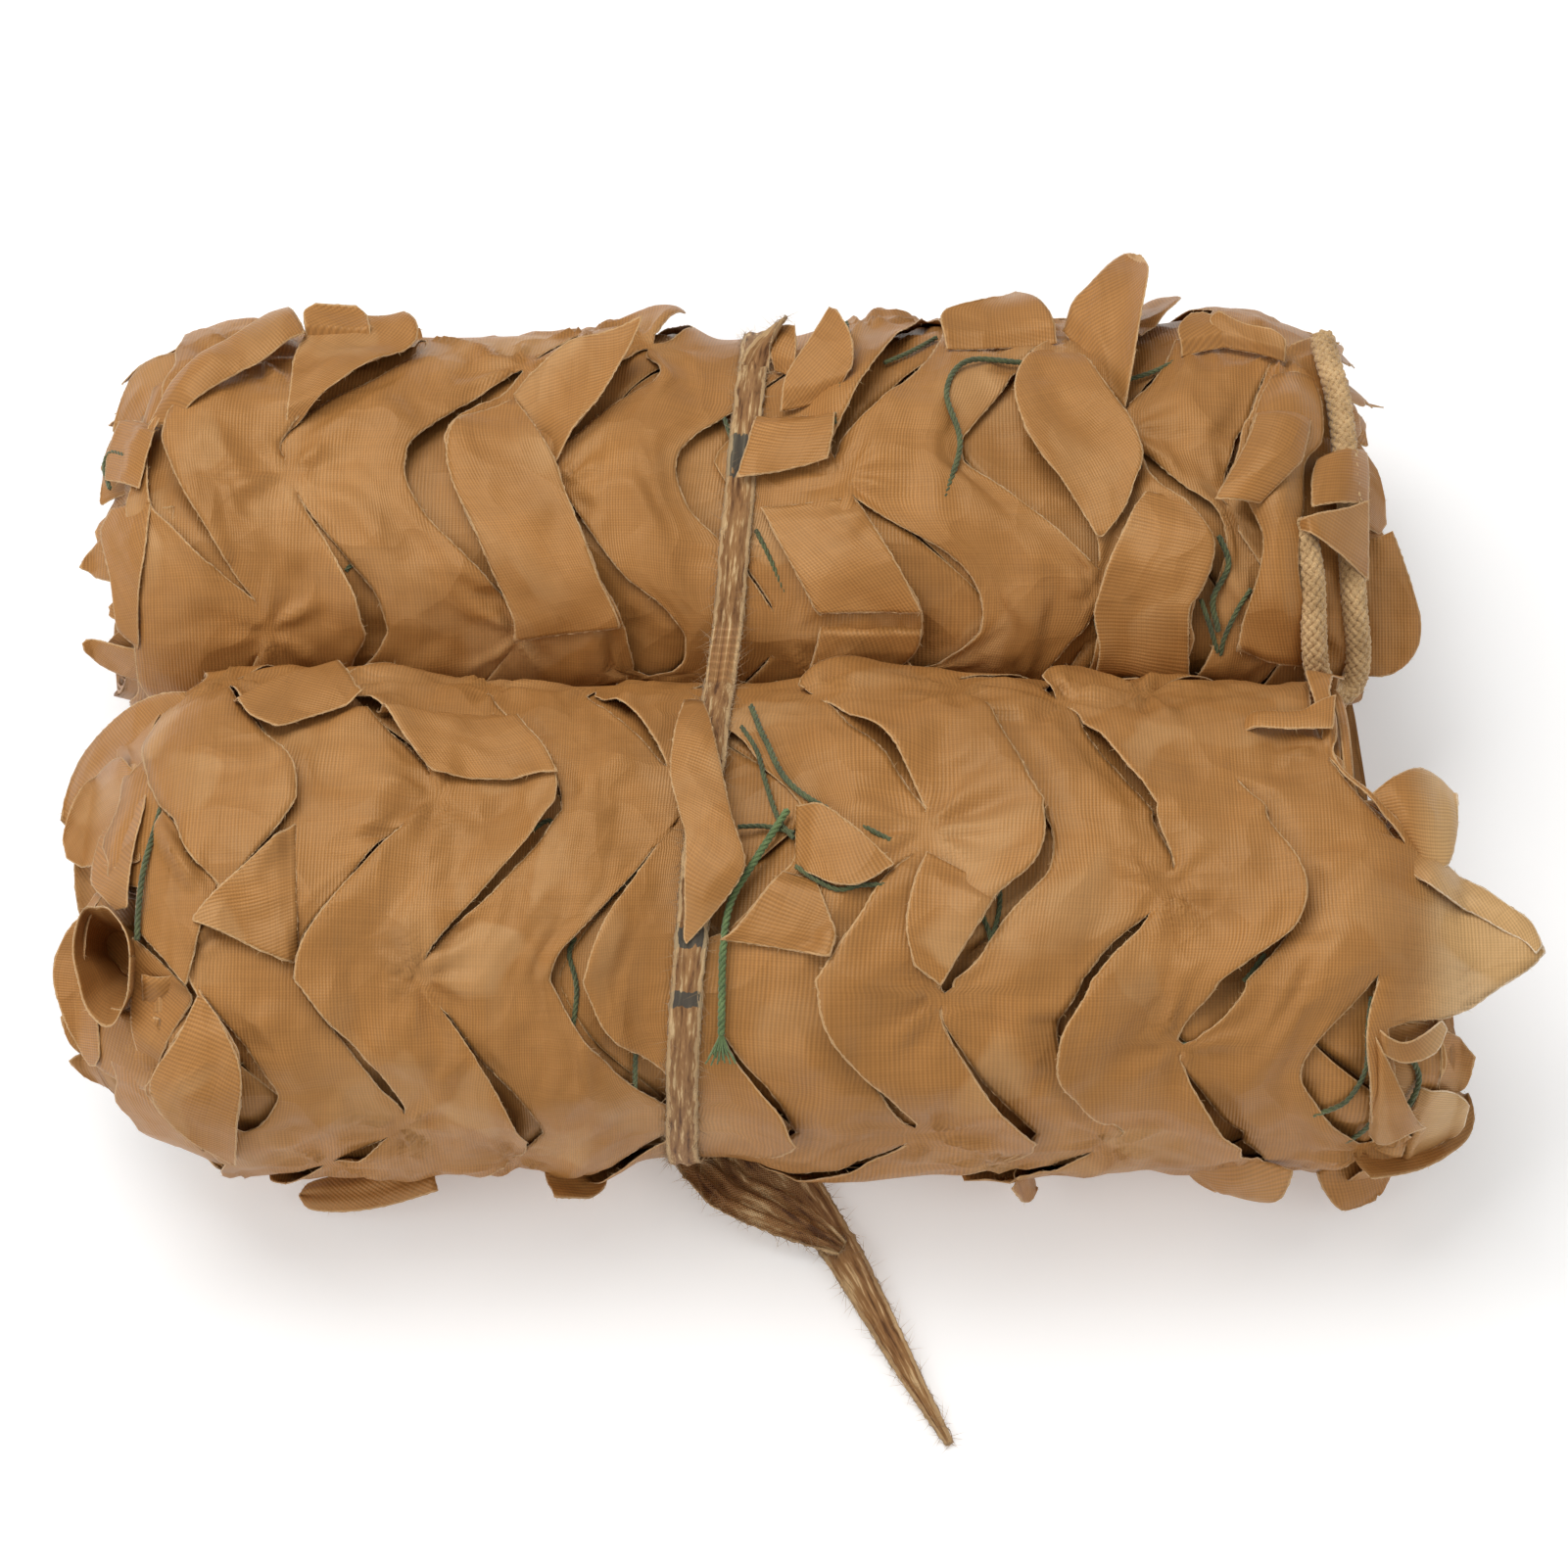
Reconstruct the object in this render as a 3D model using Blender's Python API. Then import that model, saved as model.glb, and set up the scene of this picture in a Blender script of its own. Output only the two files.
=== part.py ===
"""A leaf-cut camouflage net, folded into a long strip and rolled from both ends to the middle.

The bundle lies on its long flat underside. X runs along the two rolls, -Y is the front roll and
+Y the back roll, and Z is up. The origin is on the underside, below the crease between the rolls.
"""
from collections import namedtuple
from math import copysign, cos, exp, floor, pi, radians, sin

import bmesh
import bpy
from mathutils import Vector

MM = 0.001

# The bundle
HALF_LENGTH = 193 * MM        # middle to either end of the rolled net
MIDDLE = -8 * MM              # the rolls' middle: the loose leaves reach further at the right
FRONT_HALF_DEPTH = 73 * MM
FRONT_HALF_HEIGHT = 57 * MM
BACK_HALF_DEPTH = 67 * MM
BACK_HALF_HEIGHT = 51 * MM
CREASE = 3 * MM               # width of the slot where the two rolls press together
SQUARENESS = 2.35             # 2 is an ellipse, more is a fuller, boxier roll
SETTLED = 0.96                # how far a roll's middle has sunk, as a share of its half height

# The folded strip that is rolled up
STRIP = 13.5 * MM             # eight plies of leaf-cut cloth and mesh, pressed together
TURN_GAP = 2.5 * MM
PITCH = STRIP + TURN_GAP
FRONT_TURNS = 936             # degrees of winding, counted from under the roll
BACK_TURNS = 912
TURN_STEP = 24

# The tie
TIE_WIDTH = 11 * MM
TIE_THICKNESS = 3 * MM
TIE_CLEARANCE = 1 * MM
TIE_PLACE = -13.2 * MM        # where the tie crosses the crease, from the rolls' middle
TIE_SLANT = 0.0815            # its drift along X for each metre from front to back
WAIST = 0.03                  # how far the tie draws the rolls in, as a share of their size
RECESS_ANGLE = 60             # how far round each roll the tie presses the underside up

# The leaf cuts
LINE_SPACING = 38.6 * MM
ZIGZAG = 21.5 * MM            # half of the zigzag's swing along X
LEAF_LIFT = 2.6 * MM          # height of a leaf's free edge over its neighbour
LINES = 10
CLOTH = 2 * MM                # thickness of a loose leaf

Roll = namedtuple(
    "Roll", "side centre half_depth half_height turns first_line apex period drift swell")
FRONT = Roll(
    side=-1, centre=-(FRONT_HALF_DEPTH + CREASE / 2), half_depth=FRONT_HALF_DEPTH,
    half_height=FRONT_HALF_HEIGHT, turns=FRONT_TURNS, first_line=-166 * MM,
    apex=117 * MM, period=103 * MM, drift=0, swell=0)
BACK = Roll(
    side=1, centre=BACK_HALF_DEPTH + CREASE / 2, half_depth=BACK_HALF_DEPTH,
    half_height=BACK_HALF_HEIGHT, turns=BACK_TURNS, first_line=-162 * MM,
    apex=50 * MM, period=122 * MM, drift=-9 * MM,     # it lies further left
    swell=0.025)                                      # and is fuller right of the tie


# ---------------------------------------------------------------- the rolled shape

def ease(value):
    """A smooth step from 0 to 1."""
    value = min(max(value, 0.0), 1.0)
    return value * value * (3 - 2 * value)


def inset(angle):
    """How far in the outer face of a turn lies: it steps in by one pitch in the crease."""
    turns = floor(angle / 360)
    return PITCH * (turns + ease((angle / 360 - turns - 0.72) / 0.28))


def wound(roll, angle, depth):
    """The point (y, z) of the undisturbed roll at a winding angle, a depth below its outer face.

    Angle 0 is under the roll, 90 is its outward side, 180 its top and 270 the crease.
    """
    inward = inset(angle) + depth
    turn = radians(-90 - angle)
    across = (roll.half_depth - inward) * copysign(abs(cos(turn)) ** (2 / SQUARENESS), cos(turn))
    height = (roll.half_height - inward) * copysign(abs(sin(turn)) ** (2 / SQUARENESS), sin(turn))
    height = max(SETTLED * roll.half_height + height, inward)
    return roll.centre - roll.side * across, height


def settle(roll, along, y, z, pressed):
    """Draw the straight shape in at the tie, round its ends off and let it sag a little.

    Right at the tie the underside is pressed up, so that the strip fits beneath it.
    """
    waist = 1 - ease((abs(along) - 9 * MM) / (30 * MM))
    recess = pressed * (1 - ease((abs(along) - 8 * MM) / (7 * MM)))
    end = max(0.0, (abs(along) - HALF_LENGTH + 34 * MM) / (34 * MM))
    rounding = 1 - (0.17 if along < 0 else 0.15) * end ** 2
    sag = 1 + 0.018 * sin(along / (29 * MM) + 1.1 + 0.8 * roll.side) * (1 - waist)
    sag += roll.swell * sin(pi * along / HALF_LENGTH)
    centre = roll.centre * (1 - WAIST * waist)
    y = centre + (y - roll.centre) * (1 - WAIST * waist) * rounding * sag
    z = z * (1 - WAIST * waist) * rounding * sag + (TIE_THICKNESS + TIE_CLEARANCE) * recess
    slant = exp(-(along / (60 * MM)) ** 2) * (TIE_PLACE + TIE_SLANT * y)
    drift = roll.drift * ease((abs(along) - 60 * MM) / (100 * MM))
    return Vector((MIDDLE + along + slant + drift, y, z))


def on_roll(roll, along, angle, depth, slip=0.0):
    """The finished point at a place along the roll, a winding angle and a depth."""
    pressed = 1 - ease((angle - 20) / (RECESS_ANGLE - 20))
    pressed *= 1 - min(max(depth / STRIP, 0), 1)
    return settle(roll, along, *wound(roll, angle, depth), pressed) + Vector((slip, 0, 0))


ARC_START = 285
ARC_STEP = 3


def arc_lengths(roll):
    """Length along the visible turn from deep in the crease, for each angle down to 0."""
    lengths = {ARC_START: 0.0}
    before = Vector(wound(roll, ARC_START, 0))
    for angle in range(ARC_START - ARC_STEP, -1, -ARC_STEP):
        here = Vector(wound(roll, angle, 0))
        lengths[angle] = lengths[angle + ARC_STEP] + (here - before).length
        before = here
    return lengths


ARC = {roll.side: arc_lengths(roll) for roll in (FRONT, BACK)}


def zigzag(roll, angle):
    """Where the cut lines stand in their swing at an angle: 1 at a right turn, -1 at a left turn.

    The turns are rounded, as the cutting die rounds them.
    """
    low = int(angle // ARC_STEP) * ARC_STEP
    share = (angle - low) / ARC_STEP
    arc = ARC[roll.side][low] * (1 - share) + ARC[roll.side][low + ARC_STEP] * share
    phase = (arc - roll.apex) / roll.period
    swing = 1 - 4 * abs((phase + 0.5) % 1 - 0.5)
    return 0.6 * swing + 0.4 * sin(pi / 2 * swing)


# ---------------------------------------------------------------- the net

COARSE = [-HALF_LENGTH, -176 * MM, -136 * MM, -84 * MM, -40 * MM, -15 * MM, -8 * MM,
          8 * MM, 15 * MM, 40 * MM, 84 * MM, 136 * MM, 176 * MM, HALF_LENGTH]


Tuck = namedtuple("Tuck", "roll end angle spread slip")
TUCKS = [  # where the plies at an end have slipped in: degrees round the roll, and how far
    Tuck(FRONT, -1, 80, 80, 17 * MM),
    Tuck(FRONT, 1, 240, 60, 21 * MM),
    Tuck(FRONT, 1, 100, 50, 9 * MM),
    Tuck(BACK, -1, 130, 60, 6 * MM),
    Tuck(BACK, 1, 200, 70, -5 * MM),
]


def ragged(roll, angle, along):
    """How far along X the plies have slipped: they leave the ends of the rolls uneven."""
    end = copysign(1, along)
    slip = end * (4.5 * sin(angle / 47 + roll.side) + 3 * sin(angle / 19 + 2 * end)) * MM
    for tuck in TUCKS:
        if tuck.roll is roll and tuck.end == end:
            slip -= end * tuck.slip * ease(1 - abs(angle % 360 - tuck.angle) / tuck.spread)
    return slip * ease((abs(along) - 150 * MM) / (43 * MM))


def coarse_row(bm, roll, angle, depth):
    """A hidden row of points along the roll."""
    return [bm.verts.new(on_roll(roll, along, angle, depth, ragged(roll, angle, along)))
            for along in COARSE]


def leaf_row(bm, roll, angle):
    """A row of the visible face: each cut line is a step from a lifted leaf down to the next."""
    swing = zigzag(roll, angle)
    calm = ease((240 - angle) / 24) * ease((angle - 48) / 24)

    def point(along, lift):
        clear_of_tie = ease((abs(along) - 16 * MM) / (24 * MM))
        clear_of_end = ease((HALF_LENGTH - abs(along)) / (20 * MM))
        height = lift * LEAF_LIFT * clear_of_tie * clear_of_end * calm
        return bm.verts.new(on_roll(roll, along, angle, -height, ragged(roll, angle, along)))

    def swung(along):
        room = ease((HALF_LENGTH - abs(along)) / (46 * MM))
        return along + swing * ZIGZAG * room

    row = [point(-HALF_LENGTH, 0)]
    for line in range(LINES):
        place = roll.first_line + line * LINE_SPACING
        bulge = max(0.0, swing if line % 2 == 0 else -swing)
        high = 0.15 + 0.85 * bulge
        left, right = (high, 0) if line % 2 == 0 else (0, high)
        row.append(point(swung(place) - 0.8 * MM, left))
        row.append(point(swung(place) + 0.8 * MM, right))
        if line < LINES - 1:
            row.append(point(swung(place + LINE_SPACING / 2), 0.35 + 0.3 * (line % 2)))
    row.append(point(HALF_LENGTH, 0))
    return row


def fill(bm, first, second):
    """Faces between two rows, which may have different numbers of points."""
    if len(first) == len(second):
        for step in range(len(first) - 1):
            bm.faces.new((first[step], first[step + 1], second[step + 1], second[step]))
        return
    few, many = (first, second) if len(first) < len(second) else (second, first)
    ends = [round(step * (len(many) - 1) / (len(few) - 1)) for step in range(len(few))]
    for step in range(len(few) - 1):
        bm.faces.new([few[step], few[step + 1]] + many[ends[step]:ends[step + 1] + 1][::-1])


def scroll():
    """The double scroll: one strip, wound up from both ends, its middle flat on the floor."""
    bm = bmesh.new()
    stops = [(FRONT, angle) for angle in range(FRONT_TURNS, -1, -TURN_STEP)]
    stops += [(BACK, angle) for angle in range(0, BACK_TURNS + 1, TURN_STEP)]
    outer, inner, knots = [], [], []
    for number, (roll, angle) in enumerate(stops):
        knots.append(len(outer))
        shown = 2 * TURN_STEP < angle < 240
        outer.append(leaf_row(bm, roll, angle) if shown else coarse_row(bm, roll, angle, 0))
        inner.append(coarse_row(bm, roll, angle, STRIP))
        following = stops[number + 1] if number + 1 < len(stops) else None
        if following and following[0] is roll and 48 <= min(angle, following[1]) < 240:
            rows = 4 if 168 <= max(angle, following[1]) <= 204 else 3
            for part in range(1, rows):
                between = angle + (following[1] - angle) * part / rows
                outer.append(leaf_row(bm, roll, between))
    for rows in (outer, inner):
        for first, second in zip(rows, rows[1:]):
            fill(bm, first, second)
    for rim in (0, -1):
        for number in range(len(knots) - 1):
            skin = [row[rim] for row in outer[knots[number]:knots[number + 1] + 1]]
            bm.faces.new(skin + [inner[number + 1][rim], inner[number][rim]])
    fill(bm, outer[0], inner[0])
    fill(bm, outer[-1], inner[-1])
    bmesh.ops.triangulate(bm, faces=bm.faces)
    bmesh.ops.recalc_face_normals(bm, faces=bm.faces)
    return bm


Leaf = namedtuple(
    "Leaf", "roll along angle tip_x tip_y tip_z bow root_width middle_width tip_width faces")
LEAVES = [  # along, tips, bow and widths in millimetres, angle in degrees
    # standing along the back
    Leaf(BACK, -166, 166, -158, 120, 97, 5, 28, 28, 10, "out"),
    Leaf(BACK, -126, 158, -134, 126, 90, 4, 30, 32, 24, "out"),
    Leaf(BACK, -61, 190, -48, 112, 105, 8, 26, 26, 4, "out"),
    Leaf(BACK, 14, 156, 8, 119, 99, 4, 16, 16, 10, "out"),
    Leaf(BACK, 73, 142, 64, 123, 100, 3, 40, 36, 16, "out"),
    Leaf(BACK, 98, 172, 106, 122, 124, -6, 38, 33, 4, "out"),
    # right end
    Leaf(BACK, 190, 212, 182, 10, 58, -8, 24, 32, 28, "out"),
    Leaf(FRONT, 176, 202, 199, -51, 70, 6, 28, 30, 24, "up"),
    Leaf(FRONT, 174, 162, 220, -95, 71, 8, 46, 48, 5, "out"),
    Leaf(FRONT, 178, 141, 191, -112, 42, 5, 20, 18, 12, "out"),
    Leaf(FRONT, 174, 84, 199, -119, 30, 2, 26, 28, 20, "up"),
    # left end
    Leaf(FRONT, -176, 214, -220, -41, 54, 8, 30, 36, 24, "up"),
    Leaf(FRONT, -178, 188, -222, -68, 30, 20, 34, 38, 28, "out"),
    Leaf(FRONT, -162, 140, -168, -143, 30, 5, 30, 38, 6, "out"),
    Leaf(BACK, -176, 200, -214, 60, 64, 8, 36, 34, 26, "out"),
    Leaf(BACK, -176, 158, -213, 92, 68, 5, 28, 32, 24, "up"),
    # along the front, near the floor
    Leaf(FRONT, -104, 62, -149, -140, 4, 1, 18, 16, 8, "up"),
    Leaf(FRONT, -50, 66, -57, -133, 15, -2, 26, 26, 20, "up"),
    Leaf(FRONT, 80, 62, 72, -139, 8, -1, 18, 17, 9, "up"),
    Leaf(FRONT, 136, 74, 126, -146, 19, 4, 34, 34, 20, "up"),
    Leaf(FRONT, 176, 60, 174, -143, 9, 4, 22, 24, 16, "up"),
]
LEAF_ROOT_DEPTH = 6 * MM
LEAF_ROWS = 5


def leaf_solid(leaf, name):
    """A loose leaf: a thin arched sheet from a root inside the roll's outer turn to its tip."""
    roll, along, angle = leaf.roll, leaf.along * MM, leaf.angle
    root = on_roll(roll, along, angle, LEAF_ROOT_DEPTH)
    outward = (on_roll(roll, along, angle, -LEAF_ROOT_DEPTH) - root).normalized()
    tip = Vector((leaf.tip_x, leaf.tip_y, leaf.tip_z)) * MM
    reach = tip - root
    facing = Vector((0, 0, 1)) if leaf.faces == "up" else outward
    across = reach.cross(facing).normalized()
    tangent = (reach - outward * reach.dot(outward)).normalized()
    start = root - tangent * 7 * MM
    bend = root.lerp(tip, 0.5) + outward * (leaf.bow + 4) * MM
    widths = (leaf.root_width, leaf.middle_width, leaf.tip_width)
    bm = bmesh.new()
    rows = []
    for step in range(LEAF_ROWS):
        share = step / (LEAF_ROWS - 1)
        weights = ((1 - share) ** 2, 2 * share * (1 - share), share ** 2)
        middle = sum((weight * corner for weight, corner in zip(weights, (start, bend, tip))), Vector())
        heading = (bend - start).lerp(tip - bend, share)
        facing = across.cross(heading).normalized()
        half = sum(weight * width for weight, width in zip(weights, widths)) * MM / 2
        camber = facing * half * 0.16
        over = [bm.verts.new(middle + across * half * side - camber * abs(side) + facing * CLOTH / 2)
                for side in (-1, 0, 1)]
        under = [bm.verts.new(middle + across * half * side - camber * abs(side) - facing * CLOTH / 2)
                 for side in (1, 0, -1)]
        rows.append(over + under)
    for first, second in zip(rows, rows[1:]):
        for corner in range(6):
            after = (corner + 1) % 6
            bm.faces.new((first[corner], first[after], second[after], second[corner]))
    for row in (rows[0], rows[-1]):
        bm.faces.new((row[0], row[1], row[4], row[5]))
        bm.faces.new((row[1], row[2], row[3], row[4]))
    bmesh.ops.triangulate(bm, faces=bm.faces)
    bmesh.ops.recalc_face_normals(bm, faces=bm.faces)
    return add(bm, name, None)


# ---------------------------------------------------------------- objects and materials

def material(name, colour, roughness):
    surface = bpy.data.materials.new(name)
    surface.use_nodes = True
    shader = surface.node_tree.nodes["Principled BSDF"]
    shader.inputs["Base Color"].default_value = (*colour, 1)
    shader.inputs["Roughness"].default_value = roughness
    surface.diffuse_color = (*colour, 1)
    return surface


def add(bm, name, surface):
    """Make an object of a bmesh and free the bmesh."""
    mesh = bpy.data.meshes.new(name)
    bm.to_mesh(mesh)
    bm.free()
    thing = bpy.data.objects.new(name, mesh)
    bpy.context.scene.collection.objects.link(thing)
    if surface:
        mesh.materials.append(surface)
    return thing


def join(thing, tools):
    """Unite a few overlapping closed shapes with an object."""
    group = bpy.data.collections.new(thing.name + " additions")
    for tool in tools:
        group.objects.link(tool)
        tool.hide_render = True
        tool.display_type = "WIRE"
    union = thing.modifiers.new("join", "BOOLEAN")
    union.operation = "UNION"
    union.operand_type = "COLLECTION"
    union.collection = group
    union.solver = "EXACT"


def smooth_route(route, count):
    """Evenly counted points on a smooth curve through the route's own points."""
    curve = []
    padded = [route[0] * 2 - route[1]] + list(route) + [route[-1] * 2 - route[-2]]
    spans = len(route) - 1
    for step in range(count):
        place = step / (count - 1) * spans
        span = min(int(place), spans - 1)
        share = place - span
        before, here, there, after = padded[span:span + 4]
        curve.append(0.5 * (
            2 * here + (there - before) * share
            + (2 * before - 5 * here + 4 * there - after) * share ** 2
            + (3 * here - before - 3 * there + after) * share ** 3))
    return curve


def cord(name, route, diameter, surface, spacing=2.4):
    """A plain round cord along a smooth route, with a point every few diameters."""
    length = sum((there - here).length for here, there in zip(route, route[1:]))
    count = max(6, round(length / (spacing * diameter)))
    data = bpy.data.curves.new(name, "CURVE")
    data.dimensions = "3D"
    data.bevel_depth = diameter / 2
    data.bevel_resolution = 2
    data.use_fill_caps = True
    line = data.splines.new("POLY")
    points = smooth_route(route, count)
    line.points.add(count - 1)
    for point, place in zip(line.points, points):
        point.co = (*place, 1)
    thing = bpy.data.objects.new(name, data)
    bpy.context.scene.collection.objects.link(thing)
    data.materials.append(surface)
    return thing


# ---------------------------------------------------------------- the tie

def tie_point(roll, side, angle, out):
    """A point on the tie: side -1 or 1 is its edge, out is its height over the net."""
    return on_roll(roll, side * TIE_WIDTH / 2, angle, -TIE_CLEARANCE - out)


def tie_ring(surface):
    """The strip round the waist: under both rolls, up the front, over the crease, down the back."""
    bm = bmesh.new()
    stops = [(FRONT, angle) for angle in range(0, 229, 12)]
    stops += [(BACK, angle) for angle in range(228, -1, -12)]
    rows = []
    for roll, angle in stops:
        rows.append([bm.verts.new(tie_point(roll, side, angle, out))
                     for side, out in ((-1, 0), (1, 0), (1, TIE_THICKNESS), (-1, TIE_THICKNESS))])
    for number, row in enumerate(rows):
        following = rows[(number + 1) % len(rows)]
        for corner in range(4):
            after = (corner + 1) % 4
            bm.faces.new((row[corner], row[after], following[after], following[corner]))
    bmesh.ops.triangulate(bm, faces=bm.faces)
    bmesh.ops.recalc_face_normals(bm, faces=bm.faces)
    return add(bm, "tie_strip", surface)


TailStop = namedtuple("TailStop", "x y width thick twist")
TAIL = [  # millimetres, and degrees of twist about the strip's own line
    TailStop(-29.5, -96, 9, 2.6, 0),
    TailStop(-32, -118, 10, 2.6, 0),
    TailStop(-29, -129, 14, 3.0, 8),
    TailStop(-19, -139, 21, 3.4, 14),
    TailStop(-3, -146, 21, 3.4, 10),
    TailStop(11, -153, 15, 3.2, 0),
    TailStop(20, -166, 12, 2.8, -8),
    TailStop(31, -192, 8, 2.4, 0),
    TailStop(44, -218, 3, 2.0, 0),
]


def ribbon(name, stops, heights):
    """A flat strip along a route, its middle at the given heights."""
    bm = bmesh.new()
    places = [Vector((stop.x, stop.y, height)) * MM for stop, height in zip(stops, heights)]
    rows = []
    for number, (stop, place) in enumerate(zip(stops, places)):
        ahead = places[min(number + 1, len(places) - 1)]
        behind = places[max(number - 1, 0)]
        heading = (ahead - behind).normalized()
        level = heading.cross(Vector((0, 0, 1))).normalized()
        rise = level.cross(heading).normalized()
        turn = radians(stop.twist)
        wide = (level * cos(turn) + rise * sin(turn)) * stop.width * MM / 2
        thick = (rise * cos(turn) - level * sin(turn)) * stop.thick * MM / 2
        rows.append([bm.verts.new(place + corner)
                     for corner in (wide + thick, thick - wide, -wide - thick, wide - thick)])
    for first, second in zip(rows, rows[1:]):
        for corner in range(4):
            after = (corner + 1) % 4
            bm.faces.new((first[corner], first[after], second[after], second[corner]))
    bm.faces.new(rows[0])
    bm.faces.new(rows[-1])
    bmesh.ops.triangulate(bm, faces=bm.faces)
    bmesh.ops.recalc_face_normals(bm, faces=bm.faces)
    return add(bm, name, None)


def tail_heights():
    """Each stop rests its lower edge on the floor."""
    return [stop.thick / 2 * cos(radians(stop.twist)) + stop.width / 2 * abs(sin(radians(stop.twist)))
            for stop in TAIL]


EarStop = namedtuple("EarStop", "x y z width thick twist")
EAR = [  # the short twisted end of the tie, standing at the back
    EarStop(-12, 101, 94.2, 8, 2, 0),
    EarStop(-10, 106, 95.5, 8, 2.6, 20),
    EarStop(-6, 110, 99, 7, 2.4, 45),
    EarStop(-3, 112, 103, 4, 2, 60),
]


# ---------------------------------------------------------------- ropes and cords

Stop = namedtuple("Stop", "roll along angle")


def laid(stops, diameter, over):
    """A route that lies on the net, its underside a little over the rolls' plain face."""
    return [on_roll(stop.roll, stop.along * MM, stop.angle, -(diameter / 2 + over)) for stop in stops]


ROPE_DIAMETER = 8 * MM
ROPE_LIFT = 3.6 * MM          # over the roll's plain face, to clear its uneven end
ROPE_ROUTE = [
    Stop(BACK, 181, 149), Stop(BACK, 182, 160), Stop(BACK, 184, 172), Stop(BACK, 185, 190),
    Stop(BACK, 185, 207), Stop(BACK, 186, 224), Stop(BACK, 188, 240), Stop(BACK, 187, 252),
    Stop(BACK, 181, 255), Stop(BACK, 175, 246), Stop(BACK, 173, 232), Stop(BACK, 172, 216),
    Stop(BACK, 169, 202),
]

CORD_DIAMETER = 1.8 * MM
CordRoute = namedtuple("CordRoute", "name lift stops")
CORD_ROUTES = [  # lift: millimetres over the rolls' plain face, high enough to clear the leaves it crosses
    CordRoute("mesh_cord_back_loop", 1.2, [
        Stop(BACK, 80, 160), Stop(BACK, 63, 161), Stop(BACK, 57, 171), Stop(BACK, 61, 182),
        Stop(BACK, 57, 195)]),
    CordRoute("mesh_cord_back", 1.4, [
        Stop(BACK, 27, 138), Stop(BACK, 28, 154), Stop(BACK, 27, 168), Stop(BACK, 26, 178)]),
    CordRoute("mesh_cord_middle", 1.5, [
        Stop(FRONT, 10, 214), Stop(FRONT, 15, 200), Stop(FRONT, 24, 186), Stop(FRONT, 46, 177)]),
    CordRoute("mesh_cord_knot", 1.9, [
        Stop(BACK, 144, 234), Stop(BACK, 142, 224), Stop(BACK, 147, 214), Stop(BACK, 144, 206)]),
    CordRoute("mesh_cord_left", 2.6, [
        Stop(FRONT, -182, 196), Stop(FRONT, -187, 186), Stop(FRONT, -188, 174),
        Stop(FRONT, -187, 163)]),
    CordRoute("mesh_cord_right", 2.2, [
        Stop(FRONT, 181, 128), Stop(FRONT, 186, 118), Stop(FRONT, 184, 108),
        Stop(FRONT, 178, 98)]),
]
LOOSE_DIAMETER = 2.2 * MM
LOOSE_LIFT = 1.4 * MM
LOOSE_ROUTE = [
    Stop(FRONT, 22, 182), Stop(FRONT, 15, 173), Stop(FRONT, 10, 164), Stop(FRONT, 9, 153),
    Stop(FRONT, 9.5, 142), Stop(FRONT, 10, 130)]


def main():
    for thing in list(bpy.data.objects):
        bpy.data.objects.remove(thing)
    sand = material("sand cloth", (0.44, 0.27, 0.13), 0.5)
    blotch = material("blotched tie cloth", (0.23, 0.17, 0.11), 0.8)
    tan = material("tan braid", (0.42, 0.27, 0.13), 0.75)
    green = material("green cord", (0.03, 0.08, 0.03), 0.7)

    netting = add(scroll(), "netting", sand)
    join(netting, [leaf_solid(leaf, "leaf %02d" % number) for number, leaf in enumerate(LEAVES)])

    tie = tie_ring(blotch)
    tail = ribbon("tie tail", TAIL, tail_heights())
    ear = ribbon("tie ear", EAR, [stop.z for stop in EAR])
    join(tie, [tail, ear])

    cord("border_rope", laid(ROPE_ROUTE, ROPE_DIAMETER, ROPE_LIFT), ROPE_DIAMETER, tan, 1.1)
    for route in CORD_ROUTES:
        cord(route.name, laid(route.stops, CORD_DIAMETER, route.lift * MM), CORD_DIAMETER, green)
    cord("loose_cord_end", laid(LOOSE_ROUTE, LOOSE_DIAMETER, LOOSE_LIFT), LOOSE_DIAMETER, green)


main()
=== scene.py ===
"""A leaf-cut camouflage net, folded in a strip, rolled from both ends to the middle and tied.

The bundle lies on its long flat underside. X runs along the two rolls, -Y is the front roll and
+Y the back roll, and Z is up. Lengths are in metres, and angles in degrees unless a name says so.
"""

from collections import namedtuple
from functools import partial
from math import cos, pi, radians, sin, tau

import bmesh
import bpy
import numpy as np
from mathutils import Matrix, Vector, noise


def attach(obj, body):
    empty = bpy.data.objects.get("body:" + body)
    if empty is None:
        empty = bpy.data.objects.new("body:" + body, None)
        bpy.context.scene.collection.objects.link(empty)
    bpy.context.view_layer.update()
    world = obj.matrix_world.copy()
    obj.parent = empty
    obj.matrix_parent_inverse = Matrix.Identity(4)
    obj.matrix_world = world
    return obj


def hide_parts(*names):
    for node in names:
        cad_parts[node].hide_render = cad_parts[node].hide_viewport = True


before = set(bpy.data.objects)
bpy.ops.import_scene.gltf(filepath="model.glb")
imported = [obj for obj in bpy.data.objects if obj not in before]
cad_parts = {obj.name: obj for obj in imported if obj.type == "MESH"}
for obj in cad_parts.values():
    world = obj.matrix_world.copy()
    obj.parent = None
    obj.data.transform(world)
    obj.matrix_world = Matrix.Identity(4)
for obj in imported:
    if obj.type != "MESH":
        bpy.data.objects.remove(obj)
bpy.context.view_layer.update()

# ======================================== camera, light and floor
# The bundle is seen from the front and well above, on a pale floor under broad soft lights.
CAMERA_ELEVATION = radians(60)
CAMERA_DISTANCE = 1.3
CAMERA_TARGET = Vector((-0.0034, -0.024, 0.05))
FRAME_SIDE = 1601             # pixels
FOCAL_PIXELS = 4355
SENSOR_WIDTH = 36             # millimetres


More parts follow.
